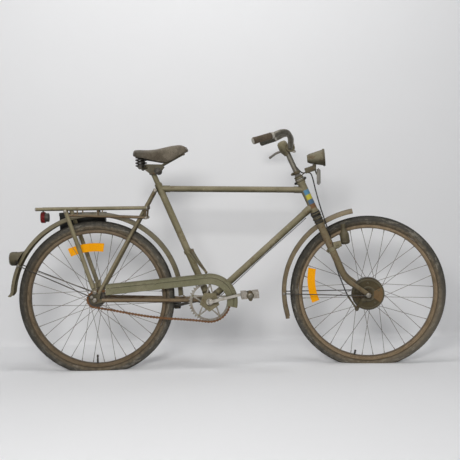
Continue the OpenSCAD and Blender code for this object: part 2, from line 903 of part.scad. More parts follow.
module headlamp() {
    color("darkolivegreen")
        steered()
            difference() {
                union() {
                    rod(lamp_back, by_head(93, 101.1), 20, 33.5);
                    rod(by_head(92, 101), by_head(101, 101.6), 35.5);
                    rod(by_head(27, 96.6), by_head(36.5, 97.3), 15, 19.5);
                }
                rod(lamp_a, lamp_b, 32.5);
            }
}

module headlamp_lens() {
    color("lightgray")
        steered()
            rod(along(lamp_a, lamp_b, 0.4), along(lamp_a, lamp_b, 4.1), 32.1);
}

module lamp_bracket() {
    color("dimgray")
        steered()
            difference() {
                union() {
                    rod(ax(head_hi + 22 + gap), ax(head_hi + 27), 19);
                    rod(ax(head_hi + 27.8, 14), by_head(57, 56.3), 4.5);
                    rod(by_head(57, 47.3), by_head(57, 83.3), 9);
                    translate(by_head(44, 56.3) - [0, 14, 8])
                        cube([38, 28, 17]);
                    rod(by_head(59.5, 57.3), by_head(66.5, 27.3), 3);
                }
                rod(ax(head_hi - 10), ax(head_hi + 60), 11.3);
                rod(lamp_back, by_head(93, 101.1), 20 + gap, 33.5 + gap);
                rod(by_head(66.2, 21.3), by_head(102.5, 21.3), 37);
            }
}

module front_disc() {
    color("lightgray")
        steered()
            union() {
                rod(by_head(66.5, 21.3), by_head(74.5, 21.3), 30, 36);
                rod(by_head(74.5, 21.3), by_head(82.5, 21.3), 36, 28);
            }
}

module dynamo() {
    a = axle_f + [-92, -46, 212];
    b = axle_f + [-98, -46, 258];
    c = axle_f + [-103, -46, 297];
    color("darkolivegreen")
        steered()
            difference() {
                union() {
                    rod(a, b, 19);
                    rod(b, along(b, c, 22), 12);
                    rod(along(b, c, 21), c, 10);
                    rod(ax(236, 10, -50), along(a, b, 14), 7);
                    rod(ax(228, 0, -50), ax(244, 0, -50), 19.5);
                }
                translate(axle_f + [-241, -42, 100])
                    cube([120, 60, 140]);
                sweep(blade_path(-1), [for (r = [[9.5, 16], [9.5, 15.5], [9.2, 14.5], [9, 13.2], [9, 12.8]])
                    [r[1] + 0.5, r[0] + 0.5]], up = [0, 1, 0], n = 16);
            }
}

module front_mudguard() {
    color("olive")
        steered()
            translate(axle_f)
                spun(100, 195)
                    guard_profile();
}

module front_mudguard_stays() {
    hold = axle_f + polar(guard_in + 7, 180);
    edge = guard_half + 1.6;
    color("gray")
        steered()
            for (y = [-1, 1]) {
                difference() {
                    union() {
                        rod([wheelbase - 8, y * 72, -2], [hold[0], y * (edge + 2.2), hold[2]], 2.2);
                        cross_bar(hold, min(y * (edge - 2.3), y * (edge + 5)), max(y * (edge - 2.3), y * (edge + 5)), 3.2);
                        translate(axle_f)
                            sheet(min(y * 69.7, y * 73.5), max(y * 69.7, y * 73.5))
                                circle(r = 11);
                    }
                    cross_bar(axle_f, -80, 80, 5.1);
                }
            }
}

// height of the tread over the axle at an angle from straight down
function tread_r(a) = abs(a) < 60 ? min(tyre_r, axle_h / cos(a)) : tyre_r;

// squashed tyre section at an angle from straight down, from bead to bead
function tyre_ring(a, n) = [for (k = [0:n - 1])
    let (th = 136 - 272 * k / (n - 1), press = (tyre_r - tread_r(a)) / tyre_w,
        c = tyre_r - tyre_w / 2,
        r = max(rim_r + 0.45, min(tread_r(a), c + tyre_w / 2 * cos(th))),
        w = tyre_w / 2 * (abs(th) > 130 ? 1.116 : 1 + 0.3 * press) * sin(th))
        [r * sin(a), w, -r * cos(a)]];

// tyre gone soft, flat where it stands
module tyre() {
    n = 13;
    m = 72;
    pts = [for (i = [0:m - 1], p = tyre_ring(360 * i / m - 180, n)) p];
    walls = [for (i = [0:m - 1], k = [0:n - 1], h = [0:1])
        let (j = (i + 1) % m, q = (k + 1) % n)
            h == 0 ? [i * n + k, j * n + k, i * n + q] : [i * n + q, j * n + k, j * n + q]];
    polyhedron(points = pts, faces = walls, convexity = 6);
}

module rim() {
    spun()
        polygon([[rim_r, -17], [rim_r, -14], [rim_in + 7, -13.5], [rim_in + 5, 0], [rim_in + 7, 13.5],
            [rim_r, 14], [rim_r, 17], [rim_in + 6, 17.5], [rim_in, 9], [rim_in, -9], [rim_in + 6, -17.5]]);
}

// one side of the spokes: flange disc with its crossed spokes
module spoke_side(flange_r, flange_y, hub_r, turn, cross_a, count) {
    union() {
        difference() {
            cross_bar([0, 0, 0], flange_y - 1.6, flange_y + 1.6, flange_r + 4);
            cross_bar([0, 0, 0], flange_y - 5, flange_y + 5, hub_r + gap);
        }
        for (k = [0:count - 1]) {
            lead = k % 2 == 0 ? -1 : 1;
            rod(polar(flange_r, 360 / count * k + turn, flange_y),
                polar(rim_in - gap, 360 / count * k + turn + lead * cross_a, lead * 1.4), spoke_d / 2, $fn = 12);
        }
    }
}

// curved reflector fixed among the spokes, about its own centre, between two distances across
module wheel_reflector(mid, r0, r1, a0, a1, y0, y1) {
    translate([mid[0], 0, mid[1]])
        spun(a0, a1)
            translate([r0, -y1])
                square([r1 - r0, y1 - y0]);
}

module front_tyre() {
    color("dimgray")
        steered()
            translate(axle_f)
                tyre();
}

module front_rim() {
    color("tan")
        steered()
            translate(axle_f)
                rim();
}

module front_spokes() {
    color("silver")
        steered()
            translate(axle_f)
                union() {
                    spoke_side(60, -9.6, 16, 0, 35, 18);
                    spoke_side(30, 36, 16, 0, 55, 18);
                }
}

module front_hub() {
    color("darkolivegreen")
        steered()
            translate(axle_f)
                difference() {
                    union() {
                        cross_bar([0, 0, 0], -39, -11.5, 68);
                        cross_bar([0, 0, 0], -12, 44, 16);
                    }
                    cross_bar([0, 0, 0], -60, 60, 5.4);
                    cross_bar([0, 0, 0], -60, -17, 61);
                }
}

module front_wheel_reflector() {
    color("orange")
        steered()
            translate(axle_f)
                wheel_reflector([14, 58], rim_in - 40.5, rim_in - 8.3, 169.2, 202.1, -13.8, -4.6);
}

module rear_tyre() {
    color("dimgray")
        placed()
            tyre();
}

module rear_rim() {
    color("tan")
        placed()
            rim();
}

module rear_spokes() {
    color("silver")
        placed()
            union() {
                spoke_side(32, -29, 18, 0, 55, 18);
                spoke_side(32, 29, 18, 20, 55, 18);
            }
}

module rear_hub() {
    color("dimgray")
        placed()
            difference() {
                union() {
                    cross_bar([0, 0, 0], -36, 46, 18);
                    cross_bar([0, 0, 0], -51.5, -35, 15);
                    sheet(-chain_y - 1.2, -chain_y + 1.2)
                        teeth(cog_teeth, cog_r);
                }
                cross_bar([0, 0, 0], -60, 60, 5.4);
            }
}

module rear_wheel_reflector() {
    color("orange")
        placed()
            wheel_reflector([-3, -74], rim_in - 3, rim_in + 32, 82.9, 111.9, -1.4, 2.15);
}

// five pointed chainwheel
module chainwheel_shape() {
    star = 3;
    r_ring = ring_r - 13;
    difference() {
        teeth(ring_teeth, ring_r);
        circle(r = r_ring, $fn = 64);
    }
    difference() {
        union() {
            rotate(star + 36)
                circle(r = 30, $fn = 5);
            for (k = [0:4]) {
                a = star + 72 * k;
                for (s = [-1, 1]) {
                    b = a + s * 36;
                    polygon([[(r_ring + 2) * cos(a - 3), (r_ring + 2) * sin(a - 3)],
                        [(r_ring + 2) * cos(a + 3), (r_ring + 2) * sin(a + 3)],
                        [26 * cos(b + 8), 26 * sin(b + 8)], [26 * cos(b - 8), 26 * sin(b - 8)]]);
                }
            }
        }
        circle(r = 14);
    }
}

module crank_frame() {
    placed()
        translate(bb)
            rotate([0, -crank_angle, 0])
                children();
}

module chainwheel() {
    color("gray")
        crank_frame()
            sheet(-chain_y - 1.2, -chain_y + 1.2)
                chainwheel_shape();
}

// crank arm outline from the axle to the pedal
module crank_shape() {
    circle(r = 14);
    translate([crank_len, 0])
        circle(r = 9.5);
    polygon([[6, 9.5], [crank_len - 4, 6], [crank_len - 4, -6], [6, -9.5]]);
}

module right_crank() {
    color("silver")
        crank_frame()
            difference() {
                union() {
                    sheet(-82, -69)
                        crank_shape();
                    cross_bar([0, 0, 0], -70, -43, 13.7);
                    cross_bar([crank_len, 0, 0], -176, -80, 5);
                }
                cross_bar([0, 0, 0], -90, -30, 8.2);
            }
}

module left_crank() {
    color("silver")
        crank_frame()
            union() {
                sheet(69, 82)
                    mirror([1, 0])
                        crank_shape();
                cross_bar([0, 0, 0], 43, 70, 13.7);
                cross_bar([0, 0, 0], -84, 84, 8);
                cross_bar([-crank_len, 0, 0], 80, 176, 5);
            }
}

// block pedal turning on its pin
module pedal() {
    difference() {
        union() {
            cross_bar([0, 0, 0], 88, 182, 9);
            for (y = [88, 178]) {
                sheet(y, y + 4)
                    union() {
                        translate([-30, -9])
                            square([60, 18]);
                    }
            }
            for (x = [-36, 11]) {
                translate([x, 93, -13])
                    cube([25, 84, 26]);
            }
            for (x = [-24, 24]) {
                cross_bar([x, 0, 0], 90, 180, 4);
            }
        }
        cross_bar([0, 0, 0], 80, 177, 5.3);
    }
}

module right_pedal() {
    color("dimgray")
        crank_frame()
            translate([crank_len, 0, 0])
                rotate([0, crank_angle - 3, 0])
                    mirror([0, 1, 0])
                        pedal();
}

module left_pedal() {
    color("dimgray")
        crank_frame()
            translate([-crank_len, 0, 0])
                rotate([0, crank_angle - 3, 0])
                    pedal();
}

head_tube();
top_tube();
down_tube();
seat_tube();
bottom_bracket();
chain_stays();
seat_stays();
rear_dropouts();
rear_axle();
seat_pin();
saddle_frame();
saddle_springs();
saddle_cover();
rear_rack();
rack_stays();
rack_struts();
tool_box();
rear_reflector();
rear_mudguard();
rear_mudguard_stays();
tail_lamp();
chain_guard();
chain_guard_bracket();
chain();
fork_crown();
fork_blades();
stem();
handlebar();
grips();
brake_lever();
brake_cable();
headlamp();
headlamp_lens();
lamp_bracket();
front_disc();
dynamo();
front_brake_plate();
front_axle();
front_mudguard();
front_mudguard_stays();
front_tyre();
front_rim();
front_spokes();
front_hub();
front_wheel_reflector();
rear_tyre();
rear_rim();
rear_spokes();
rear_hub();
rear_wheel_reflector();
chainwheel();
right_crank();
left_crank();
right_pedal();
left_pedal();
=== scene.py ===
import math

import bpy
import bmesh
from mathutils import Matrix, Vector


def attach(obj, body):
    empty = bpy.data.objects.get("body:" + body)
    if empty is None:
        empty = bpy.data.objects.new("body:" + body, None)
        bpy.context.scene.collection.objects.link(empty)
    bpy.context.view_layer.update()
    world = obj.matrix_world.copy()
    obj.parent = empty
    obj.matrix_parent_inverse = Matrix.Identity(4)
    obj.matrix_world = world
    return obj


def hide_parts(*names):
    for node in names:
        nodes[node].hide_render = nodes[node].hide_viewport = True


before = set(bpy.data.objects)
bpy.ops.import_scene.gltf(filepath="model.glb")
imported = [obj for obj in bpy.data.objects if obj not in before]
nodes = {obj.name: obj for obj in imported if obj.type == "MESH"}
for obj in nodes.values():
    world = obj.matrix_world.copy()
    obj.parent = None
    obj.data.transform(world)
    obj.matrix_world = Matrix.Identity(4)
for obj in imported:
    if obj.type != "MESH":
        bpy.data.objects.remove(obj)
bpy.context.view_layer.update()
scene = bpy.context.scene

# Places from the rear axle, in millimetres: X forward, Y left, Z up.
RIDER = Vector((225, 0, 615.5))
HEAD = math.radians(66)
UP = Vector((-math.cos(HEAD), 0, math.sin(HEAD)))
FWD = Vector((math.sin(HEAD), 0, math.cos(HEAD)))
AXLE_F = Vector((1141, 0, 0))
RAKE = 59
FOOT = AXLE_F - FWD * RAKE
BB = Vector((472, 0, -18))
SEAT_ANGLE = math.radians(67.3)
SEAT_LEN = 512
SEAT = Vector((-math.cos(SEAT_ANGLE), 0, math.sin(SEAT_ANGLE)))
SEAT_NODE = BB + SEAT * SEAT_LEN
CRANK_A = math.radians(12.6)
CRANK_L = 167
PITCH = 12.7
RING_TEETH = 42
COG_TEETH = 16
RING_R = PITCH / (2 * math.sin(math.pi / RING_TEETH))
COG_R = PITCH / (2 * math.sin(math.pi / COG_TEETH))
CABLE_R = 2.6
AXLE_H = 302
TYRE_R = 325.5
TYRE_W = 40
RIM_R = 291
GUARD_R = 362
STAY_R = 351
HEAD_TOP = 542
LEFT = Vector((0, 1, 0))
RIGHT = -LEFT

BASE = Matrix.Scale(0.001, 4) @ Matrix.Translation(-RIDER)
STEER_REST = math.radians(-8)
STEER = Matrix.Translation(FOOT) @ Matrix.Rotation(STEER_REST, 4, UP) @ Matrix.Translation(-FOOT)
STEERED = BASE @ STEER
REAR = BASE
FRONT = STEERED @ Matrix.Translation(AXLE_F)
CRANK = BASE @ Matrix.Translation(BB) @ Matrix.Rotation(-CRANK_A, 4, "Y")


def ax(t, f=0, y=0):
    """Point t up the steering axis from its foot, f ahead of it and y to the left."""
    return FOOT + UP * t + FWD * f + LEFT * y


def polar(r, deg, y=0):
    """Point at a radius and angle in a wheel's plane, y to the left."""
    a = math.radians(deg)
    return Vector((r * math.cos(a), y, r * math.sin(a)))


def rack_pt(x, y, dz=0):
    """Point on the carrier's rail, which drops a little towards the front."""
    return Vector((x, y, 377 - x * math.tan(math.radians(0.36)) + dz))


def by_bar(x, y, z):
    """Point from the middle of the handlebar."""
    return ax(691, 21) + Vector((x, y, z))


def by_axle(x, y, z):
    """Point from the front axle."""
    return AXLE_F + Vector((x, y, z))


def by_head(x, z, y=0):
    """Point from the top of the head tube."""
    return ax(HEAD_TOP) + Vector((x, y, z))


def spline(p, i, t):
    """Point on the curve through the points p, a share t of the way from point i to the next."""
    a, b, c, d = p[max(i - 1, 0)], p[i], p[i + 1], p[min(i + 2, len(p) - 1)]
    bend = (2 * a - 5 * b + 4 * c - d) * t * t + (3 * b - a - 3 * c + d) * t * t * t
    return 0.5 * (2 * b + (c - a) * t + bend)


def smooth(points, k):
    """Curve through the points, with k steps between two of them."""
    p = [Vector(q) for q in points]
    return [spline(p, i, j / k) for i in range(len(p) - 1) for j in range(k)] + [p[-1]]


class Shape:
    """Mesh parts collected in millimetres."""

    def __init__(self):
        self.v = []
        self.f = []

    def add(self, verts, faces):
        n = len(self.v)
        self.v += [Vector(p) for p in verts]
        self.f += [[n + i for i in f] for f in faces]

    def skin(self, rows, ends, loop=False):
        """Faces between rows of points, each row closed on itself; ends are more faces, by point number."""
        m, n = len(rows), len(rows[0])
        faces = []
        for i in range(m if loop else m - 1):
            j = (i + 1) % m
            for k in range(n):
                q = (k + 1) % n
                faces.append((i * n + k, j * n + k, j * n + q, i * n + q))
        self.add([p for row in rows for p in row], faces + ends)

    def tube(self, pts, r, n=12):
        """Closed tube along points; r is one radius, or one a point, each a number or an oval's two."""
        pts = [Vector(p) for p in pts]
        m = len(pts)
        tang = [(pts[min(i + 1, m - 1)] - pts[max(i - 1, 0)]).normalized() for i in range(m)]
        ref = LEFT if abs(tang[0].y) < 0.9 else Vector((0, 0, 1))
        u = (ref - tang[0] * ref.dot(tang[0])).normalized()
        turns = [2 * math.pi * k / n for k in range(n)]
        rows = []
        for i in range(m):
            if i:
                u = tang[i - 1].rotation_difference(tang[i]) @ u
            w = tang[i].cross(u)
            rr = r[i] if isinstance(r, list) else r
            ru, rw = rr if isinstance(rr, tuple) else (rr, rr)
            rows.append([pts[i] + u * (ru * math.cos(a)) + w * (rw * math.sin(a)) for a in turns])
        self.skin(rows, self.lids(m, n))

    def lids(self, m, n):
        """Both end faces of m rows of n points."""
        return [list(range(n - 1, -1, -1)), [(m - 1) * n + k for k in range(n)]]

    def lathe(self, prof, origin, axis, n=32, turn=0.0):
        """Turned form: prof holds the radius and height of each ring along the axis."""
        origin = Vector(origin)
        axis = Vector(axis).normalized()
        ref = LEFT if abs(axis.y) < 0.9 else Vector((1, 0, 0))
        u = (ref - axis * ref.dot(axis)).normalized()
        w = axis.cross(u)
        verts, faces, prev = [], [], None
        for r, h in prof:
            c = origin + axis * h
            if r < 1e-6:
                ring = [len(verts)]
                verts.append(c)
            else:
                ring = list(range(len(verts), len(verts) + n))
                for k in range(n):
                    a = 2 * math.pi * (k + turn) / n
                    verts.append(c + u * (r * math.cos(a)) + w * (r * math.sin(a)))
            if prev is not None:
                for k in range(n):
                    q = (k + 1) % n
                    loop = [prev[i % len(prev)] for i in (k, q)] + [ring[i % len(ring)] for i in (q, k)]
                    loop = list(dict.fromkeys(loop))
                    if len(loop) > 2:
                        faces.append(loop)
            prev = ring
        self.add(verts, faces)

    def nut(self, p, axis, r=8, h=6, washer=True, stud=0.0):
        """Six-sided nut, on a washer and with the end of its stud where asked."""
        c = math.cos(math.pi / 6)
        base = 0
        if washer:
            base = 1.5
            self.lathe([(0, 0), (r * 1.15, 0), (r * 1.25, 0.4), (r * 1.25, 1.1), (r * 1.12, base), (0, base)],
                       p, axis, 24)
        top = base + h
        self.lathe([(0, base), (r * 0.95, base), (r, base + 0.08 * h), (r, base + 0.86 * h), (r * c, top),
                    (0, top)], p, axis, 6)
        if stud:
            s = r * 0.55
            end = top + stud
            self.lathe([(0, top - 1), (s, top - 1), (s, end - 0.8), (s * 0.8, end), (0, end)], p, axis, 16)

    def join(self, other, place):
        """Adds a copy of another shape, moved by a matrix."""
        self.add([place @ v for v in other.v], other.f)

    def screw(self, p, axis, r, h):
        """Round screw head."""
        prof = [(0, 0), (r, 0), (r, h * 0.35), (r * 0.86, h * 0.72), (r * 0.5, h * 0.95), (0, h)]
        self.lathe(prof, p, axis, 18)

    def plate(self, outline, origin, ex, ey, h, edge=0.0):
        """Flat outline raised by h along ex x ey, its rim eased by edge."""
        origin, ex, ey = Vector(origin), Vector(ex).normalized(), Vector(ey).normalized()
        ez = ex.cross(ey)
        n = len(outline)
        cx = sum(p[0] for p in outline) / n
        cy = sum(p[1] for p in outline) / n
        rings = []
        for lift, inset in ((0, edge), (edge, 0), (h - edge, 0), (h, edge)) if edge else ((0, 0), (h, 0)):
            ring = []
            for x, y in outline:
                d = math.hypot(x - cx, y - cy) or 1
                k = max(0.0, 1 - inset / d)
                ring.append(origin + ex * (cx + (x - cx) * k) + ey * (cy + (y - cy) * k) + ez * lift)
            rings.append(ring)
        self.skin(rings, self.lids(len(rings), n))

    def box(self, lo, hi, e=1.0):
        """Box with eased edges."""
        lo, hi = Vector(lo), Vector(hi)
        bm = bmesh.new()
        bmesh.ops.create_cube(bm, size=1)
        for v in bm.verts:
            v.co = Vector([(lo[i] + hi[i]) / 2 + v.co[i] * (hi[i] - lo[i]) for i in range(3)])
        bmesh.ops.bevel(bm, geom=list(bm.edges), offset=e, segments=2, profile=0.6, affect="EDGES")
        bm.verts.index_update()
        self.add([v.co.copy() for v in bm.verts], [[v.index for v in f.verts] for f in bm.faces])
        bm.free()


def piece(name, shape, place, body, mat, slot="olive_paint", angle=35, replaces=()):
    """Makes the object of a shape, placed in the frame and riding on its body."""
    me = bpy.data.meshes.new(name)
    me.from_pydata([tuple(place @ v) for v in shape.v], [], shape.f)
    bm = bmesh.new()
    bm.from_mesh(me)
    bmesh.ops.recalc_face_normals(bm, faces=bm.faces)
    bm.to_mesh(me)
    bm.free()
    me.polygons.foreach_set("use_smooth", [True] * len(me.polygons))
    me.set_sharp_from_angle(angle=math.radians(angle))
    me.materials.append(mat)
    ob = bpy.data.objects.new(name, me)
    scene.collection.objects.link(ob)
    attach(ob, body)
    if replaces:
        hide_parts(*replaces)
    return ob


def frame_piece(name, shape, mat, slot="olive_paint", **more):
    return piece(name, shape, BASE, "frame", mat, slot, **more)


def steer_piece(name, shape, mat, slot="olive_paint", **more):
    return piece(name, shape, STEERED, "steering", mat, slot, **more)


def shade(colour, k):
    return tuple(x * k for x in colour)


# Materials. Lengths in them are in metres.
WHEEL_M = 0.3  # radius at which lengths around a wheel are taken
DUST = (0.36, 0.33, 0.26)
# Painted shade colour for corners and gaps between parts.
CORNER_SHADE = (0.026, 0.021, 0.014)
BARE = (0.34, 0.31, 0.26)


class Nodes:
    """Short names for building one node material."""

    def __init__(self, name):
        self.mat = bpy.data.materials.new(name)
        self.mat.use_nodes = True
        self.t = self.mat.node_tree
        self.t.nodes.clear()
        self.out = self.t.nodes.new("ShaderNodeOutputMaterial")
        self.bsdf = self.t.nodes.new("ShaderNodeBsdfPrincipled")
        self.t.links.new(self.bsdf.outputs[0], self.out.inputs[0])
        self.co = self.t.nodes.new("ShaderNodeTexCoord").outputs["Object"]

    def put(self, socket, value):
        if hasattr(value, "is_output"):
            self.t.links.new(value, socket)
        else:
            socket.default_value = value

    def fill(self, node, **values):
        """Sets or links a node's inputs by name, with _ for a space."""
        for key, value in values.items():
            self.put(node.inputs[key.replace("_", " ")], value)
        return node

    def node(self, kind, **values):
        return self.fill(self.t.nodes.new("ShaderNode" + kind), **values)

    def at(self, stretch):
        return self.node("Mapping", Vector=self.co, Scale=stretch).outputs[0] if stretch else self.co

    def noise(self, scale, detail=5, rough=0.6, stretch=None):
        n = self.node("TexNoise", Vector=self.at(stretch), Scale=scale, Detail=detail, Roughness=rough)
        return n.outputs["Fac"]

    def cells(self, scale, feature="F1", stretch=None):
        n = self.node("TexVoronoi")
        n.feature = feature
        return self.fill(n, Vector=self.at(stretch), Scale=scale).outputs["Distance"]

    def span(self, value, lo, hi, a=0.0, b=1.0):
        """Smooth step from a at lo to b at hi."""
        n = self.node("MapRange")
        n.interpolation_type = "SMOOTHSTEP"
        return self.fill(n, Value=value, From_Min=lo, From_Max=hi, To_Min=a, To_Max=b).outputs[0]

    def pair(self, kind, op, a, b):
        n = self.node(kind)
        n.operation = op
        self.put(n.inputs[0], a)
        self.put(n.inputs[1], b)
        return n.outputs

    def math(self, op, a, b=0.0):
        return self.pair("Math", op, a, b)[0]

    def mul(self, a, b):
        return self.math("MULTIPLY", a, b)

    def add(self, a, b):
        return self.math("ADD", a, b)

    def colour(self, socket, value):
        self.put(socket, value if hasattr(value, "is_output") else (*value, 1))

    def mix(self, fac, a, b):
        n = self.node("Mix")
        n.data_type = "RGBA"
        self.put(n.inputs[0], fac)
        self.colour(n.inputs[6], a)
        self.colour(n.inputs[7], b)
        return n.outputs[2]

    def vector(self, op, a, b=(0, 0, 0)):
        return self.pair("VectorMath", op, a, b)

    def dot(self, axis):
        return self.vector("DOT_PRODUCT", self.co, axis)["Value"]

    def about(self, centre):
        """Switches the noises to lengths around and out from a wheel's centre, and gives the distance out."""
        off = self.vector("SUBTRACT", self.co, centre)[0]
        out = self.vector("LENGTH", off)["Value"]
        x, y, z = self.node("SeparateXYZ", Vector=off).outputs
        around = self.mul(self.math("ARCTAN2", z, x), WHEEL_M)
        self.co = self.node("CombineXYZ", X=around, Y=out, Z=y).outputs[0]
        return out

    def facing(self, axis):
        normal = self.node("NewGeometry").outputs["Normal"]
        return self.node("SeparateXYZ", Vector=normal).outputs[axis]

    def hollow(self, dist):
        """Low in corners and gaps, 1 in the open."""
        n = self.node("AmbientOcclusion", Distance=dist)
        n.samples = 4
        return n.outputs["AO"]

    def bump(self, height, strength, dist):
        n = self.node("Bump", Height=height, Strength=strength, Distance=dist)
        self.put(self.bsdf.inputs["Normal"], n.outputs[0])

    def done(self, colour, rough, metal=0.0, **more):
        self.colour(self.bsdf.inputs["Base Color"], colour)
        self.fill(self.bsdf, Roughness=rough, Metallic=metal, **more)
        return self.mat


# Painted bands on the head tube: from and to along the steering axis in millimetres, and the colour.
HEAD_BANDS = (
    (483, 504, (0.085, 0.24, 0.38)), (460.5, 483, (0.50, 0.44, 0.05)),
    (440, 460.5, (0.065, 0.13, 0.22)), (421, 440, (0.17, 0.085, 0.035)),
)


def paint(name, a, b, rust=0.5, dust=0.35, chips=0.5, bands=False):
    """Worn matt paint: mottled, with rust, chips, dust on upper faces, and painted shade below, in corners
    and gaps, and at the edges seen from the front.
    """
    m = Nodes(name)
    big = m.noise(7, 5)
    mid = m.noise(46, 7, 0.65)
    fine = m.noise(330, 4, 0.7)
    col = m.mix(m.span(big, 0.35, 0.65), a, b)
    col = m.mix(m.span(fine, 0.35, 0.75, 0, 0.45), col, shade(a, 0.5))
    col = m.mix(m.span(mid, 0.52, 0.72, 0, 0.5), col, shade(a, 0.45))
    col = m.mix(m.span(mid, 0.44, 0.28, 0, 0.35), col, shade(b, 1.45))
    if bands:
        foot = (FOOT - RIDER).dot(UP) / 1000
        axis = (FOOT - RIDER).dot(FWD) / 1000
        edge = m.add(m.dot(tuple(UP)), m.mul(m.math("SUBTRACT", m.noise(120, 3), 0.5), 0.007))
        on_tube = m.span(m.dot(tuple(FWD)), axis - 0.0105, axis - 0.0075)
        worn = m.mul(on_tube, m.span(fine, 0.30, 0.45, 0.55, 1))
        for lo, hi, tint in HEAD_BANDS:
            lo, hi = foot + lo / 1000, foot + hi / 1000
            inside = m.mul(m.span(edge, lo - 0.001, lo + 0.001), m.span(edge, hi - 0.001, hi + 0.001, 1, 0))
            col = m.mix(m.mul(inside, worn), col, tint)
    spots = m.add(m.mul(mid, 0.62), m.mul(fine, 0.38))
    rusty = m.span(spots, 0.62 - 0.10 * rust, 0.70 - 0.10 * rust)
    rust_col = m.mix(m.span(fine, 0.3, 0.7), (0.065, 0.034, 0.018), (0.17, 0.082, 0.035))
    col = m.mix(m.mul(rusty, 0.85), col, rust_col)
    bare = m.span(m.cells(210), 0.06, 0.02, 0, 0.75 * chips)
    bare = m.mul(bare, m.span(mid, 0.50, 0.58))
    col = m.mix(bare, col, BARE)
    nz = m.facing("Z")
    # Painted shade: faces turned downwards are darker.
    underside_shade = m.mul(m.span(nz, 0.05, -0.7), m.span(mid, 0.25, 0.7, 0.7, 0.95))
    col = m.mix(underside_shade, col, shade(a, 0.28))
    # Painted shade in corners and gaps between parts, taken from ambient occlusion.
    col = m.mix(m.span(m.hollow(0.022), 0.8, 0.25, 0, 0.85), col, CORNER_SHADE)
    up = m.mul(m.span(nz, 0.15, 0.95), m.span(mid, 0.25, 0.75, 0.35, 1.0))
    col = m.mix(m.mul(up, dust), col, DUST)
    # Painted shade: faces turned sideways to the front are darker, so tube edges seen from the front go dark.
    sideways = m.math("ABSOLUTE", m.facing("Y"))
    edge_shade = m.mul(m.span(sideways, 0.62, 0.12), m.span(mid, 0.25, 0.7, 0.4, 0.75))
    col = m.mix(edge_shade, col, shade(a, 0.33))
    rough = m.add(m.span(mid, 0.3, 0.7, 0.40, 0.56), m.mul(rusty, 0.25))
    m.bump(m.add(m.mul(fine, 0.5), m.mul(rusty, 0.7)), 0.35, 0.0006)
    return m.done(col, rough, 0.0, Specular_IOR_Level=0.22)


def metal(name, a, b, rust, rough=(0.28, 0.5)):
    """Dull plated or bare steel with stains and rust freckles."""
    m = Nodes(name)
    mid = m.noise(60, 7, 0.65)
    fine = m.noise(420, 4, 0.7)
    col = m.mix(m.span(mid, 0.3, 0.7), a, b)
    spots = m.add(m.mul(mid, 0.55), m.mul(fine, 0.45))
    rusty = m.span(spots, 0.64 - 0.16 * rust, 0.74 - 0.16 * rust)
    rust_col = m.mix(m.span(fine, 0.3, 0.7), (0.075, 0.036, 0.018), (0.20, 0.095, 0.04))
    col = m.mix(m.mul(rusty, 0.9), col, rust_col)
    r = m.add(m.span(fine, 0.25, 0.75, *rough), m.mul(rusty, 0.3))
    m.bump(m.add(m.mul(fine, 0.4), rusty), 0.3, 0.0004)
    return m.done(col, r, m.math("SUBTRACT", 0.92, m.mul(rusty, 0.85)))


def rubber(name, a, b, dusty):
    """Old rubber: dry grey bloom, dusty patches, fine cracks."""
    m = Nodes(name)
    big = m.noise(9, 5)
    mid = m.noise(70, 7, 0.65)
    fine = m.noise(600, 4, 0.7)
    crack = m.cells(260, "DISTANCE_TO_EDGE")
    col = m.mix(m.span(mid, 0.3, 0.7), a, b)
    col = m.mix(m.mul(m.span(big, 0.40, 0.66), m.span(mid, 0.35, 0.65, 0.3, 0.8)), col, dusty)
    col = m.mix(m.span(crack, 0.0, 0.05, 0.45, 0), col, shade(a, 0.35))
    m.bump(m.add(m.mul(fine, 0.5), m.span(crack, 0, 0.06)), 0.35, 0.0005)
    return m.done(col, m.span(mid, 0.3, 0.7, 0.72, 0.9), Specular_IOR_Level=0.25)


def tyre_rubber(name, centre, pale, way, dark, light):
    """Perished tyre: black tread edge, chalky flakes, brown towards the rim, dustier towards one way, and
    painted shade towards the other.
    """
    m = Nodes(name)
    side = m.math("SUBTRACT", m.dot(way), Vector(way).dot(centre))
    out = m.about(centre)
    mid = m.noise(60, 7, 0.65)
    fine = m.noise(500, 4, 0.7)
    streak = m.noise(75, 6, 0.7, (0.32, 1, 0.8))
    col = m.mix(m.span(mid, 0.3, 0.7), (0.044, 0.041, 0.034), (0.088, 0.080, 0.066))
    brown = m.mix(m.span(mid, 0.35, 0.65), (0.095, 0.074, 0.048), (0.19, 0.148, 0.094))
    col = m.mix(m.span(out, 0.311, 0.296, 0, 0.8), col, brown)
    flake = m.mul(m.span(streak, 0.53, 0.63), m.span(fine, 0.35, 0.6, 0.25, 1.0))
    col = m.mix(m.mul(flake, pale), col, (0.33, 0.30, 0.24))
    # Painted shade: darker on the side away from the given way.
    col = m.mix(m.span(side, -0.08, -0.30, 0, dark), col, (0.018, 0.016, 0.012))
    col = m.mix(m.span(side, 0.05, 0.30, 0, light), col, (0.24, 0.20, 0.145))
    col = m.mix(m.span(out, 0.3195, 0.3235, 0, 0.75), col, (0.017, 0.016, 0.014))
    m.bump(m.add(fine, m.mul(flake, 0.8)), 0.4, 0.0005)
    return m.done(col, m.span(mid, 0.3, 0.7, 0.68, 0.88), Specular_IOR_Level=0.3)


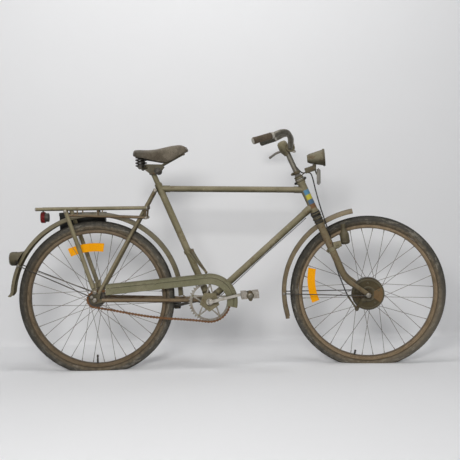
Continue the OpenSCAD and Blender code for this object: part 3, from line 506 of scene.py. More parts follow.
def rim_paint(name, centre, gain):
    """Rusted rim: tan and brown streaks, darker at both edges."""
    m = Nodes(name)
    out = m.about(centre)
    mid = m.noise(70, 7, 0.65, (0.4, 1, 1))
    fine = m.noise(420, 4, 0.7)
    dark, tan = shade((0.142, 0.101, 0.058), gain), shade((0.280, 0.207, 0.128), gain)
    col = m.mix(m.span(mid, 0.32, 0.68), dark, tan)
    spots = m.add(m.mul(mid, 0.5), m.mul(fine, 0.5))
    col = m.mix(m.span(spots, 0.53, 0.62, 0, 0.85), col, (0.060, 0.034, 0.019))
    col = m.mix(m.span(out, 0.2865, 0.2905, 0, 0.8), col, (0.045, 0.034, 0.022))
    col = m.mix(m.span(out, 0.2772, 0.2748, 0, 0.6), col, (0.055, 0.038, 0.024))
    m.bump(m.add(fine, m.span(spots, 0.53, 0.62)), 0.4, 0.0005)
    return m.done(col, m.span(fine, 0.3, 0.7, 0.5, 0.75), Specular_IOR_Level=0.25)


OLIVE = paint("olive_worn", (0.185, 0.161, 0.091), (0.258, 0.223, 0.139))
OLIVE_HEAD = paint("olive_banded", (0.185, 0.161, 0.091), (0.258, 0.223, 0.139), rust=0.6, bands=True)
OLIVE_DARK = paint("olive_dark", (0.076, 0.065, 0.038), (0.125, 0.105, 0.063), rust=0.75, dust=0.25)
OLIVE_GUARD = paint("olive_guard", (0.172, 0.164, 0.094), (0.228, 0.211, 0.132), rust=0.35, dust=0.25)
BROWN = paint("brown_rusted", (0.168, 0.118, 0.066), (0.230, 0.164, 0.094), rust=0.8, dust=0.2, chips=0.3)
BAR = metal("bar_worn", (0.21, 0.195, 0.16), (0.125, 0.113, 0.088), rust=0.45, rough=(0.36, 0.58))
DRUM = paint("drum_brown", (0.058, 0.047, 0.022), (0.086, 0.066, 0.031), rust=0.8, dust=0.05, chips=0.15)
WEDGE = paint("drum_rust", (0.128, 0.080, 0.035), (0.178, 0.112, 0.050), rust=0.5, dust=0.1, chips=0.2)
GUARD_REAR = paint("olive_rear", (0.160, 0.138, 0.082), (0.212, 0.180, 0.114), rust=0.55, dust=0.25)
GUARD_FRONT = paint("olive_front", (0.186, 0.146, 0.086), (0.245, 0.192, 0.118), rust=0.65, dust=0.25)
LAMP = paint("olive_lamp", (0.128, 0.115, 0.068), (0.205, 0.183, 0.118), rust=0.8, chips=0.7)
STAY = paint("olive_stay", (0.166, 0.138, 0.078), (0.230, 0.192, 0.117), rust=0.55, dust=0.3)
FORK = paint("olive_fork", (0.158, 0.124, 0.070), (0.216, 0.170, 0.100), rust=0.85, dust=0.3)
CHROME = metal("dull_plate", (0.47, 0.445, 0.40), (0.31, 0.285, 0.245), rust=0.3)
STEEL = metal("bare_steel", (0.30, 0.285, 0.25), (0.20, 0.18, 0.15), rust=0.55, rough=(0.35, 0.6))
SPOKE = metal("spoke_steel", (0.20, 0.185, 0.16), (0.12, 0.10, 0.078), rust=0.8, rough=(0.35, 0.6))
CHAIN = metal("rusty_links", (0.22, 0.112, 0.055), (0.11, 0.056, 0.028), rust=0.7, rough=(0.5, 0.75))
DARK = metal("dark_steel", (0.085, 0.08, 0.07), (0.05, 0.045, 0.038), rust=0.35, rough=(0.4, 0.65))
HUB_R = tuple(BASE @ Vector())
HUB_F = tuple(FRONT @ Vector())
RIM_R_LOOK = rim_paint("rim_rear", HUB_R, 0.7)
RIM_F_LOOK = rim_paint("rim_front", HUB_F, 1.12)
TYRE_R_LOOK = tyre_rubber("tyre_rear", HUB_R, 0.5, (1, 0, 0), 0.55, 0.05)
TYRE_F_LOOK = tyre_rubber("tyre_front", HUB_F, 0.68, (0.6, 0, -0.8), 0.42, 0.32)
GRIP = rubber("grip_brown", (0.064, 0.049, 0.033), (0.108, 0.083, 0.056), (0.165, 0.135, 0.098))
GRIP_FAR = rubber("grip_dark", (0.040, 0.038, 0.029), (0.070, 0.065, 0.050), (0.13, 0.12, 0.095))
PEDAL = rubber("pedal_rubber", (0.15, 0.130, 0.108), (0.29, 0.26, 0.22), (0.44, 0.41, 0.36))
BLACK = rubber("black_rubber", (0.018, 0.018, 0.017), (0.032, 0.031, 0.029), (0.08, 0.075, 0.065))
BOX = paint("black_box", (0.014, 0.014, 0.013), (0.030, 0.030, 0.027), rust=0.1, dust=0.35, chips=0.3)
PALE_CAP = rubber("pale_cap", (0.32, 0.30, 0.26), (0.44, 0.42, 0.37), (0.24, 0.21, 0.17))


def leather(name):
    """Dry hide: worn paler, fine grain and cracks, darker towards the rear, dusty on top."""
    m = Nodes(name)
    big = m.noise(14, 6)
    mid = m.noise(90, 6, 0.65)
    grain = m.cells(900, "SMOOTH_F1")
    crack = m.cells(150, "DISTANCE_TO_EDGE", stretch=(1, 0.55, 1))
    col = m.mix(m.span(big, 0.3, 0.7), (0.082, 0.066, 0.045), (0.165, 0.140, 0.103))
    col = m.mix(m.span(mid, 0.5, 0.75, 0, 0.5), col, (0.27, 0.235, 0.185))
    col = m.mix(m.span(m.dot((1, 0, 0)), 0.03, -0.045, 0, 0.75), col, (0.036, 0.029, 0.019))
    col = m.mix(m.span(crack, 0, 0.05, 0.6, 0), col, (0.035, 0.024, 0.016))
    up = m.mul(m.span(m.facing("Z"), 0.4, 1.0), m.span(mid, 0.3, 0.7, 0.2, 0.7))
    col = m.mix(m.mul(up, 0.45), col, (0.27, 0.245, 0.205))
    m.bump(m.add(m.mul(grain, 0.5), m.span(crack, 0, 0.08)), 0.4, 0.0006)
    return m.done(col, m.span(mid, 0.3, 0.7, 0.42, 0.66), Specular_IOR_Level=0.25)


def reflector(name, a, b, painted_glow):
    """Moulded prism lens: small cells of two tones, some dirt, and a faint painted glow."""
    m = Nodes(name)
    cell = m.cells(240)
    dirt = m.noise(50, 6)
    col = m.mix(m.span(cell, 0.1, 0.6), a, b)
    col = m.mix(m.span(dirt, 0.58, 0.78, 0, 0.2), col, (0.30, 0.20, 0.10))
    m.bump(cell, 0.4, 0.0010)
    rough = m.span(dirt, 0.3, 0.7, 0.36, 0.55)
    # Painted glow: the lens gives off a little light of its own.
    return m.done(col, rough, Specular_IOR_Level=0.08, Emission_Color=(*painted_glow, 1), Emission_Strength=0.06)


def glass(name):
    """Clouded lamp glass."""
    m = Nodes(name)
    dirt = m.noise(40, 6)
    col = m.mix(m.span(dirt, 0.45, 0.7), (0.86, 0.87, 0.86), (0.55, 0.53, 0.48))
    m.bump(m.noise(150, 2), 0.2, 0.0008)
    return m.done(col, m.span(dirt, 0.4, 0.7, 0.06, 0.35), 0.0, Transmission_Weight=0.55, IOR=1.5)


def pale(name, a, b):
    """Pale moulded plastic with small cells."""
    m = Nodes(name)
    mid = m.noise(60, 6)
    col = m.mix(m.span(mid, 0.35, 0.7), a, b)
    m.bump(m.cells(380), 0.35, 0.0008)
    return m.done(col, m.span(mid, 0.3, 0.7, 0.2, 0.42))


LEATHER = leather("saddle_leather")
ORANGE = reflector("orange_lens", (0.93, 0.42, 0.002), (0.80, 0.32, 0.001), (0.9, 0.38, 0.0))
RED = reflector("red_lens", (0.17, 0.022, 0.020), (0.09, 0.010, 0.010), (0.3, 0.02, 0.02))
GLASS = glass("lamp_glass")
DISC = pale("pale_lens", (0.27, 0.255, 0.225), (0.17, 0.155, 0.128))

# Looks of the nodes that stay in sight and are not in plain olive paint.
LOOKS = (
    (OLIVE_HEAD, "head_tube"), (STAY, "seat_stays"), (BROWN, "chain_stays rack_struts"),
    (OLIVE_DARK, "bottom_bracket rear_dropouts saddle_frame tail_lamp front_hub"),
    (STEEL, "rear_axle chainwheel front_axle"),
    (DARK, "rear_reflector rear_mudguard_stays front_mudguard_stays rear_hub"),
    (GUARD_REAR, "rear_mudguard"), (GUARD_FRONT, "front_mudguard"), (OLIVE_GUARD, "chain_guard"),
    (BAR, "stem"), (LAMP, "headlamp"), (GLASS, "headlamp_lens"), (DISC, "front_disc"),
    (DRUM, "front_brake_plate"), (RIM_F_LOOK, "front_rim"), (RIM_R_LOOK, "rear_rim"),
    (SPOKE, "front_spokes rear_spokes"), (ORANGE, "front_wheel_reflector rear_wheel_reflector"),
)
look_of = {key: look for look, keys in LOOKS for key in keys.split()}
for key, ob in nodes.items():
    ob.data.materials.clear()
    ob.data.materials.append(look_of.get(key, OLIVE))


# Stage: pale floor and wall, seen through from behind, and soft lights.
FLOOR = (-AXLE_H - RIDER.z) / 1000
WALL = 0.56
COVE = 0.03
REACH = 9.0
STAGE_COLOUR = (0.80, 0.803, 0.815)


def stage_mat(name, col):
    m = Nodes(name)
    pick = m.node("MixShader")
    m.put(pick.inputs[0], m.node("NewGeometry").outputs["Backfacing"])
    m.put(pick.inputs[1], m.bsdf.outputs[0])
    m.put(pick.inputs[2], m.node("BsdfTransparent").outputs[0])
    m.put(m.out.inputs[0], pick.outputs[0])
    return m.done(m.mix(m.noise(6, 4), shade(col, 0.985), col), 0.85)


def sweep_stage():
    me = bpy.data.meshes.new("studio")
    foot = WALL - COVE
    prof = [(-REACH, 0.0), (foot, 0.0)]
    for k in range(1, 7):
        a = math.pi / 2 * k / 6
        prof.append((foot + COVE * math.sin(a), COVE - COVE * math.cos(a)))
    prof.append((WALL, 6.0))
    # The last two rows are the floor behind the wall, a hair lower.
    prof += [(foot, -0.0005), (REACH, -0.0005)]
    verts = [(x, y, FLOOR + z) for y, z in prof for x in (-REACH, REACH)]
    rows = [i for i in range(len(prof) - 1) if i != len(prof) - 3]
    me.from_pydata(verts, [], [(2 * i, 2 * i + 1, 2 * i + 3, 2 * i + 2) for i in rows])
    me.polygons.foreach_set("use_smooth", [True] * len(me.polygons))
    ob = bpy.data.objects.new("studio", me)
    me.materials.append(stage_mat("studio_pale", STAGE_COLOUR))
    scene.collection.objects.link(ob)


sweep_stage()


def area(name, loc, target, size, power, color=(1, 1, 1)):
    la = bpy.data.lights.new(name, "AREA")
    la.shape = "RECTANGLE"
    la.size, la.size_y = size
    la.energy = power
    la.color = color
    ob = bpy.data.objects.new(name, la)
    ob.location = loc
    ob.rotation_euler = (Vector(target) - Vector(loc)).to_track_quat("-Z", "Y").to_euler()
    scene.collection.objects.link(ob)


area("key", (-0.2, -3.3, 0.75), (0.25, 0.1, -0.3), (1.0, 0.7), 61, (1.0, 0.99, 0.97))
area("fill", (2.7, -2.8, 1.5), (0.4, 0.1, -0.4), (1.3, 1.0), 10, (0.98, 0.99, 1.0))
area("side", (-2.7, -2.6, 1.5), (0.3, 0.1, -0.4), (1.3, 1.0), 13)
area("top", (0.3, -0.5, 2.3), (0.3, 0.0, -0.6), (2.6, 0.8), 32)

# World: dim light, and a brighter tone where the camera, metal or glass sees it.
WORLD_LIGHT = 0.08
WORLD_SEEN = 0.4
world = bpy.data.worlds.new("studio_world")
scene.world = world
world.use_nodes = True
tree = world.node_tree
sky = tree.nodes["Background"]
sky.inputs[0].default_value = (0.96, 0.975, 1.0, 1)
rays = tree.nodes.new("ShaderNodeLightPath")
level = tree.nodes.new("ShaderNodeMapRange")
level.inputs["To Min"].default_value = WORLD_LIGHT
level.inputs["To Max"].default_value = WORLD_SEEN
shown = rays.outputs["Is Camera Ray"]
for ray in ("Is Glossy Ray", "Is Transmission Ray"):
    either = tree.nodes.new("ShaderNodeMath")
    either.operation = "MAXIMUM"
    tree.links.new(shown, either.inputs[0])
    tree.links.new(rays.outputs[ray], either.inputs[1])
    shown = either.outputs[0]
tree.links.new(shown, level.inputs["Value"])
tree.links.new(level.outputs[0], sky.inputs[1])
scene.view_settings.view_transform = "Standard"

# Camera, fitted to the photograph.
CAMERA_AT = (0.2501, -3.1986, -0.2115)
PAN = math.radians(1.592)
DROP = math.radians(2.304)
ROLL = math.radians(1.12)
cam = bpy.data.cameras.new("camera")
cam.sensor_width = 36
cam.sensor_fit = "HORIZONTAL"
cam.lens = 59.5
cam_ob = bpy.data.objects.new("camera", cam)
scene.collection.objects.link(cam_ob)
aim = Matrix.Rotation(-PAN, 4, "Z") @ Matrix.Rotation(math.pi / 2 - DROP, 4, "X")
cam_ob.matrix_world = Matrix.Translation(CAMERA_AT) @ aim @ Matrix.Rotation(-ROLL, 4, "Z")
scene.camera = cam_ob


# Tyres: soft, flat at the floor, with block tread and ribbed side walls.
TYRE_STEPS = 480
TYRE_HALF = [0, 7, 9, 13, 15, 21, 28, 30, 34, 36, 43, 50, 53, 60, 68, 75, 78, 82, 85, 92, 99, 104, 107, 111,
             117, 123, 129, 131, 136]


def tread_r(deg):
    """Outer radius at an angle from straight down, cut off by the floor."""
    if abs(deg) < 60:
        return min(TYRE_R, AXLE_H / math.cos(math.radians(deg)))
    return TYRE_R


def tread_depth(i, th):
    """Change of the section's radius: grooves between blocks, and two ribs on the wall."""
    b = abs(th)
    if 8 < b < 14 or 29 < b < 35:
        return -2.0
    if 14 <= b <= 29 and (i + (1 if th > 0 else 3)) % 4 == 0:
        return -1.7
    if 35 <= b <= 51 and (i + (3 if th > 0 else 1)) % 4 == 0:
        return -1.7
    if 77 < b < 83:
        return 0.7
    return 0.8 if 103 < b < 108 else 0


def tyre(name, place, body, node, look):
    angles = [-a for a in reversed(TYRE_HALF[1:])] + TYRE_HALF
    c = TYRE_R - TYRE_W / 2
    rows = []
    for i in range(TYRE_STEPS):
        deg = 360 * i / TYRE_STEPS - 180
        top = tread_r(deg)
        press = (TYRE_R - top) / TYRE_W
        a = math.radians(deg)
        row = []
        for th in angles:
            rad = TYRE_W / 2 + tread_depth(i, th)
            t = math.radians(th)
            r = max(RIM_R + 0.45, min(top, c + rad * math.cos(t)))
            bulge = 1.116 if abs(th) > 130 else 1 + 0.42 * press * math.sin(min(abs(t), 1.6))
            row.append((r * math.sin(a), rad * bulge * math.sin(t), -r * math.cos(a)))
        rows.append(row)
    s = Shape()
    s.skin(rows, [], loop=True)
    piece(name, s, place, body, look, "tyre", 50, (node,))


tyre("tyre_front", FRONT, "front_wheel", "front_tyre", TYRE_F_LOOK)
tyre("tyre_rear", REAR, "rear_wheel", "rear_tyre", TYRE_R_LOOK)

# Nipples at the rim, and the valves. A side holds its flange's radius and y, the turn, and the spokes' cross.
SPOKES = 18
NIPPLE_R = 273.7
VALVE_R = 275
NIPPLE = [(0, -1.5), (2.6, -1.5), (2.6, 1.2), (1.9, 2.2), (1.8, 11), (1.5, 12.5), (1.05, 12.6)]
VALVE = [(6.5, 0), (6.5, 0.07), (4.2, 0.1), (4.0, 0.55), (3.2, 0.57), (3.2, 0.65), (4.4, 0.67), (4.4, 0.9),
         (3.4, 0.99)]


def nipples(end, place, body, sides, valve_deg, valve_len):
    s = Shape()
    for flange_r, flange_y, turn, cross in sides:
        for k in range(SPOKES):
            lead = -1 if k % 2 == 0 else 1
            deg = 360 * k / SPOKES + turn
            a = polar(flange_r, deg, flange_y)
            b = polar(NIPPLE_R, deg + lead * cross, lead * 1.4)
            s.lathe(NIPPLE, b, a - b, 8)
    piece(end + "_nipples", s, place, body, STEEL, "bare_steel")
    v = Shape()
    base = polar(VALVE_R, valve_deg)
    v.lathe([(0, 0)] + [(r, h * valve_len) for r, h in VALVE] + [(0, valve_len)], base, -base, 14)
    piece(end + "_valve", v, place, body, DARK, "bare_steel")


nipples("front", FRONT, "front_wheel", ((60, -9.6, 0, 35), (30, 36, 0, 55)), -101.6, 21)
nipples("rear", REAR, "rear_wheel", ((32, -29, 0, 55), (32, 29, 20, 55)), -91, 36)

# Chain: rollers on the free runs, pin ends, and waisted plates in turn inside and outside.
LINKS = 104
CHAIN_Y = -50
SAG = 9
PLATE_END = 5
PLATE_WAIST = 2.6
LEN = BB.length
TILT = math.atan2(BB.z, BB.x)
BETA = math.asin((RING_R - COG_R) / LEN)
FREE = math.sqrt(LEN ** 2 - (RING_R - COG_R) ** 2)
ARC1 = RING_R * (math.pi + 2 * BETA)
ARC2 = COG_R * (math.pi - 2 * BETA)
LINK = (2 * FREE + ARC1 + ARC2) / LINKS


def chain_at(s):
    """Point on the chain's loop: upper run, chainwheel, sagging lower run, sprocket."""
    sb, cb = math.sin(BETA), math.cos(BETA)
    s = s % (2 * FREE + ARC1 + ARC2)
    if s < FREE:
        x, z = -COG_R * sb + s * cb, COG_R * cb + s * sb
    elif s < FREE + ARC1:
        a = math.pi / 2 + BETA - (s - FREE) / RING_R
        x, z = LEN + RING_R * math.cos(a), RING_R * math.sin(a)
    elif s < 2 * FREE + ARC1:
        t = s - FREE - ARC1
        x, z = LEN - RING_R * sb - t * cb, -RING_R * cb + t * sb - SAG * math.sin(math.pi * t / FREE) ** 2
    else:
        a = -math.pi / 2 - BETA - (s - 2 * FREE - ARC1) / COG_R
        x, z = COG_R * math.cos(a), COG_R * math.sin(a)
    c, d = math.cos(TILT), math.sin(TILT)
    return Vector((x * c - z * d, CHAIN_Y, x * d + z * c))


def free_run(s):
    return 22 < s < FREE - 36 or FREE + ARC1 + 36 < s < 2 * FREE + ARC1 - 22


def round_end(x, r, start, steps=6):
    """Half circle of radius r about (x, 0), from the start angle on."""
    turns = [math.radians(start + 180 * k / steps) for k in range(steps + 1)]
    return [(x + r * math.cos(a), r * math.sin(a)) for a in turns]


chain = Shape()
for i in range(LINKS):
    p, q = chain_at(i * LINK), chain_at((i + 1) * LINK)
    d = q - p
    waist = d.length / 2
    outline = round_end(0, PLATE_END, 90) + [(waist, -PLATE_WAIST)]
    outline += round_end(d.length, PLATE_END, -90) + [(waist, PLATE_WAIST)]
    for y in (2.0, -3.2) if i % 2 == 0 else (3.3, -4.5):
        chain.plate(outline, p + LEFT * y, d, -LEFT.cross(d), 1.2)
    if free_run(i * LINK):
        chain.lathe([(0, -1.9), (4, -1.9), (4, 1.9), (0, 1.9)], p, LEFT, 12)
    for axis in (RIGHT, LEFT):
        chain.lathe([(1.9, 3.2), (1.9, 4.9), (1.2, 5.3), (0, 5.4)], p, axis, 8)
frame_piece("chain_links", chain, CHAIN, "rusty_chain", angle=30, replaces=("chain",))

# Saddle: riveted hide on coil springs. Rows from the rear: x, half width, top and edge height.
PIN = SEAT_NODE + SEAT * 85
ROWS = [Vector(row) for row in (
    (-71, 66, 73, 58), (-61, 92, 82, 53), (-43, 98, 83, 49), (-17, 94, 83, 45), (11, 78, 86, 39),
    (39, 54, 91, 33), (65, 38, 96, 33), (91, 29, 100, 45), (121, 24, 102, 62), (142, 16, 94, 72),
    (153, 7, 83, 76))]
HIDE = 4.5
RIVET = [(0, -1), (5.2, -1), (5.2, 0.3), (4.2, 1.2), (2.2, 1.8), (0, 2.0)]


def by_pin(x, y, z):
    """Point from the top of the seat pin."""
    return PIN + Vector((x, y, z))


def saddle_pt(t, ang, wall=0.0):
    """Point on the hide at a station along the rows and an angle across them, or on its inside."""
    i = min(int(t), len(ROWS) - 2)
    x, hw, hi, lo = spline(ROWS, i, t - i)
    hw -= wall
    hi -= wall + lo
    c, s = math.cos(ang), math.sin(ang)
    z = lo + hi * max(s, 0) ** 0.62
    dip = 2.6 * math.exp(-((x - 20) / 45) ** 2) * max(s, 0) ** 2
    return by_pin(x, hw * math.copysign(abs(c) ** 0.55, c), z - (dip if wall == 0 else 0))


def saddle(m=61, n=48):
    lip = Vector((0, 0, 1.6))
    rows = []
    for i in range(m):
        t = (len(ROWS) - 1) * i / (m - 1)
        outer = [saddle_pt(t, math.pi * k / n) for k in range(n + 1)]
        inner = [saddle_pt(t, math.pi * k / n, HIDE) for k in range(n, -1, -1)]
        rows.append(outer + [(outer[-1] + inner[0]) / 2 - lip] + inner + [(outer[0] + inner[-1]) / 2 - lip])
    c = len(rows[0])
    s = Shape()
    s.skin(rows, [(e + k, e + k + 1, e + c - 3 - k, e + c - 2 - k)
                  for e in (0, (m - 1) * c) for k in range(n)])
    frame_piece("saddle_hide", s, LEATHER, "leather", angle=60, replaces=("saddle_cover",))


saddle()
rivets = Shape()
for t, angles in ((0.62, (22, 48, 72, 108, 132, 158)), (9.35, (40, 90, 140))):
    for deg in angles:
        a = math.radians(deg)
        p = saddle_pt(t, a)
        out = (saddle_pt(t + 0.1, a) - p).cross(saddle_pt(t, a + 0.05) - p)
        rivets.lathe(RIVET, p, out if out.dot(p - by_pin(40, 0, 60)) >= 0 else -out, 14)
frame_piece("saddle_rivets", rivets, STEEL, "bare_steel")
COIL_X, COIL_Y, COIL_R = -43, 55, 17
DISC_NUT = [(0, 0), (13.5, 0), (14, 1), (14, 4), (12.5, 5), (0, 5)]
COIL_SEAT = [(9, 0), (13, 0.5), (14, 2), (13, 3.4), (5, 3.6), (0, 3.6)]
spring, joints = Shape(), Shape()
for y in (-1, 1):
    path = []
    for i in range(4 * 28 + 1):
        k = i / 28
        rise = min(1, max(0, (k - 0.6) / 2.8))
        turn = 2 * math.pi * k
        coil = Vector((COIL_R * math.cos(turn), COIL_R * math.sin(turn), 16.3 + 33.4 * rise))
        path.append(by_pin(COIL_X, y * COIL_Y, 0) + coil)
    spring.tube(path, 3, 10)
    out = LEFT * y
    joints.lathe(DISC_NUT, by_pin(27, y * 30, -6), out, 28)
    joints.nut(by_pin(27, y * 35, -6), out, 7.5, 5, stud=3)
    joints.lathe(COIL_SEAT, by_pin(COIL_X, y * COIL_Y, 9.6), (0, 0, 1), 20)
    joints.nut(by_pin(COIL_X, y * 72, 9), out, 6.5, 5, stud=2)
frame_piece("saddle_coils", spring, DARK, "bare_steel", replaces=("saddle_springs",))
frame_piece("saddle_nuts", joints, DARK, "bare_steel")


# Handlebar with its grips.
def grip_ends(y):
    return by_bar(-56.7, y * 230, 49.9), by_bar(-134.7, y * 271, 27.9)


def bar_half(y):
    inner, outer = grip_ends(1)
    bend = ((0, 27, 0), (1, 72, 13), (1, 122, 40), (-10, 170, 59), (-33, 205, 60))
    pts = smooth([by_bar(*p) for p in bend] + [inner], 9)
    pts = [by_bar(0, 0, 0), by_bar(0, 14, 0)] + pts + [outer]
    return [Vector((p.x, y * p.y, p.z)) for p in pts]


bar = Shape()
bar.tube(list(reversed(bar_half(-1))) + bar_half(1)[1:], 11, 24)
steer_piece("bar_tube", bar, BAR, "dull_chrome", replaces=("handlebar",))

GRIP_END = [(12.9, -5), (13.9, -3.5), (13.9, 2), (13.0, 4.4), (8.5, 5), (0, 5)]
GRIP_CAP = [(0, 4.9), (11.8, 4.9), (11.8, 6), (9.6, 7), (4, 7.4), (0, 7.4)]
caps = Shape()
for y, side, look in ((-1, "right", GRIP), (1, "left", GRIP_FAR)):
    a, b = grip_ends(y)
    d = b - a
    end = d.length
    caps.lathe([(11.2, 6), (12.6, 6.4), (12.6, 15), (11.2, 15.4)], a, d, 24)
    prof = [(11.4, 16), (13.0, 16.2), (13.8, 17.5), (13.8, 21), (12.8, 22.5)]
    h = 24
    while h < end - 6:
        prof += [(13.0, h), (13.5, h + 1.2), (13.5, h + 3.6), (13.0, h + 4.8)]
        h += 6
    prof += [(r, end + h) for r, h in GRIP_END]
    grip = Shape()
    grip.lathe(prof, a, d, 28)
    steer_piece("grip_" + side, grip, look, "brown_rubber", replaces=("grips",) if y < 0 else ())
    caps.lathe([(r, end + h) for r, h in GRIP_CAP], a, d, 24)
steer_piece("grip_caps", caps, PALE_CAP, "brown_rubber")

# Fork blades: oval above, bent forward and flattened at the axle.
BLADE_R = [(9.5, 16), (9.5, 15.5), (9.2, 14.5), (9, 13.2), (9, 12.8), (9, 12.6), (9, 12.4), (8.8, 12.2),
           (8.6, 12), (8, 11.6), (7, 10.5), (3, 10), (3, 9)]
blades = Shape()
for y in (-1, 1):
    path = [ax(365.6, 0, y * 45), ax(300, 0, y * 47.3), ax(220, 0, y * 50.2), ax(134, 0, y * 53)]
    for k in range(1, 6):
        f = k / 6
        t = (1 - f) ** 2 * 128 + 2 * f * (1 - f) * 96 + f * f * 73
        path.append(ax(t, f * f * RAKE * 0.24, y * (58 - t * 0.038)))
    path += [ax(73, RAKE * 0.24, y * 56), ax(44, RAKE * 0.54, y * 58), ax(22, RAKE * 0.77, y * 58),
             ax(-9, RAKE * 1.094, y * 58)]
    blades.tube(smooth(path, 5), [tuple(r) for r in smooth(BLADE_R, 5)], 28)
steer_piece("fork_legs", blades, FORK, replaces=("fork_blades",))

# Brake cable from the lever to the arm at the hub, and the lever.
cable = Shape()
FROM_BAR = ((-17.7, 67.7, -16.3), (-6.7, 44, -40.1), (21.3, 24, -80.1), (47.3, 20, -106.1),
            (71.3, 17, -105.1), (87.3, 14, -118.1), (102.3, 4, -178.1), (120.3, -22, -246.1))
DOWN_FORK = ((338, 22, -44), (290, 17, -40), (250, 4, -33), (200, -9, -34), (150, -15, -38), (108, -18, -46))
route = [by_bar(*p) for p in FROM_BAR] + [ax(*p) for p in DOWN_FORK]
route = smooth(route + [by_axle(-85, -52, -4), by_axle(-51.3, -53.4, -56)], 8)
cable.tube(route, CABLE_R, 12)
line = steer_piece("brake_line", cable, BLACK, "black_rubber", replaces=("brake_cable",))

lever = Shape()
lever.lathe([(11.2, -13), (14.2, -13), (15, -12), (15, 12), (14.2, 13), (11.2, 13)], by_bar(0.65, 56, 8),
            by_bar(0.9, 68, 11.7) - by_bar(0.4, 44, 4.3), 32)
BLADE = ((-6.7, 57, -6.1), (-28.7, 64, -12), (-62, 104, -21), (-92.7, 148, -40.1))
blade = smooth([by_bar(*p) for p in BLADE], 8)
lever.tube(blade, [(4.2 + 1.6 * abs(1 - k / 12), 5.2) for k in range(len(blade))], 14)
lever.lathe([(0, -6.5), (4.6, -4.6), (6.5, 0), (4.6, 4.6), (0, 6.5)], blade[-1], (0, 0, 1), 18)
lever.screw(by_bar(-17, 60, -4), (-0.3, 0, 1), 5, 3)
steer_piece("lever_blade", lever, STEEL, "bare_steel", replaces=("brake_lever",))


# Pedals: ribbed rubber blocks between steel plates.
def pedal(side, y):
    body = side + "_pedal_body"
    tilt = Matrix.Rotation(CRANK_A - math.radians(3), 4, "Y")
    place = CRANK @ Matrix.Translation((-y * CRANK_L, 0, 0)) @ tilt
    out, mid = LEFT * y, Vector()
    steel, rub, cap = Shape(), Shape(), Shape()
    steel.lathe([(5.4, 86), (9.5, 86), (10, 88), (9, 90), (9, 177), (11.5, 178), (11.5, 180)], mid, out, 24)
    inner = [(-30, -6), (-27, -9), (27, -9), (30, -6), (30, 6), (27, 9), (-27, 9), (-30, 6)]
    outer = []
    for k in range(48):
        a = 2 * math.pi * k / 48
        r = 16.8 + 3.0 * math.cos(2 * (a - math.pi / 2)) + 2.2 * math.cos(4 * a)
        outer.append((r * math.cos(a), r * math.sin(a)))
    for outline, near, ease in ((inner, 88, 0.6), (outer, 178, 0.8)):
        steel.plate(outline, LEFT * max(y * near, y * (near + 4)), (1, 0, 0), (0, 0, 1), 4, ease)
    for z in (-13.5, 13.5):
        steel.screw((0, y * 182, z), out, 4, 2.6)
    cap.lathe([(0, 184.6), (6, 184.4), (9.6, 183.4), (10.4, 181.8)], mid, out, 24)
    for x in (-36, 11):
        for x0, x1, end, z0, z1, ease in ((1.6, 23.4, 180, -11.4, 11.4, 2), (0, 25, 181, -12.6, -5.8, 1.6),
                                          (0, 25, 181, -3.4, 3.4, 1.6), (0, 25, 181, 5.8, 12.6, 1.6)):
            y0, y1 = sorted((y * 93, y * end))
            rub.box((x + x0, y0, z0), (x + x1, y1, z1), ease)
    name = "pedal_" + side
    piece(name + "_cage", steel, place, body, OLIVE_DARK, "bare_steel", replaces=(side + "_pedal",))
    piece(name + "_blocks", rub, place, body, PEDAL if y < 0 else BLACK, "black_rubber")
    piece(name + "_cap", cap, place, body, BAR, "dull_chrome")


pedal("right", -1)
pedal("left", 1)

# Crank arms with their cotters, and the five-sided spider plate.
ARM_IN, ARM_OUT = 69.5, 82
COTTER = [(0, -17), (3.2, -17), (3.6, -15), (4.0, 4), (3.4, 5.6), (0, 6)]
cotters = Shape()
for y, side, look in ((-1, "right", CHROME), (1, "left", DARK)):
    out = LEFT * y
    cotters.lathe(COTTER, (3 * y, y * 76, 6), (0, 0, 1), 14)
    arm = Shape()
    outline = round_end(0, 6.6, 90, 12) + [(14, -6.6), (CRANK_L - 12, -5.2)]
    outline += round_end(CRANK_L, 8.5, -90, 12) + [(CRANK_L - 12, 5.2), (14, 6.6)]
    arm.plate(outline, LEFT * max(y * ARM_IN, y * ARM_OUT), (-y, 0, 0), (0, 0, -y), ARM_OUT - ARM_IN, 2)
    arm.lathe([(0, 43.5), (13.5, 43.5), (13.5, 70), (0, 70)], Vector(), out, 32)
    arm.lathe([(5.1, 0), (8, 0), (8, 1.5), (6, 2.4), (5.1, 2.4)], (-y * CRANK_L, y * ARM_OUT, 0), out, 18)
    piece("crank_arm_" + side, arm, CRANK, "cranks", look, "dull_chrome", replaces=(side + "_crank",))
piece("crank_cotters", cotters, CRANK, "cranks", STEEL, "bare_steel")
star = Shape()
STAR_AT = RIGHT * 51.4
star.lathe([(14.2, 0), (42, 0), (43, 0.8), (43, 1.8), (42, 2.4), (14.2, 2.4)], STAR_AT, RIGHT, 5, 39 / 72)
star.lathe([(14.2, 2), (18, 2), (18.6, 4.5), (17, 6), (14.2, 6.4)], STAR_AT, RIGHT, 32)
for k in range(5):
    star.screw(polar(RING_R - 11, 3 + 72 * k, -51.3), RIGHT, 4.2, 2.6)
    star.screw(polar(30, 39 + 72 * k, -53.6), RIGHT, 3.2, 2)
piece("spider_plate", star, CRANK, "cranks", OLIVE)

# Chain guard: rolled edges, pressed crease, painted shade lines under the crease and the top edge, fixing
# screws, hook to the seat tube.
R_OUT = RING_R + 31
R_IN = RING_R - 11
GUARD_Y = -63.4


def guard_line(r, start, end, steps, y):
    """Line along the guard: straight from start to end in the given steps, then round the chainwheel at r."""
    a, b = Vector(start), Vector(end)
    line = [a + (b - a) * k / steps for k in range(steps + 1)]
    line += [BB + polar(r, 94 - 3 * k) for k in range(1, 37)]
    return [p + LEFT * y for p in line]


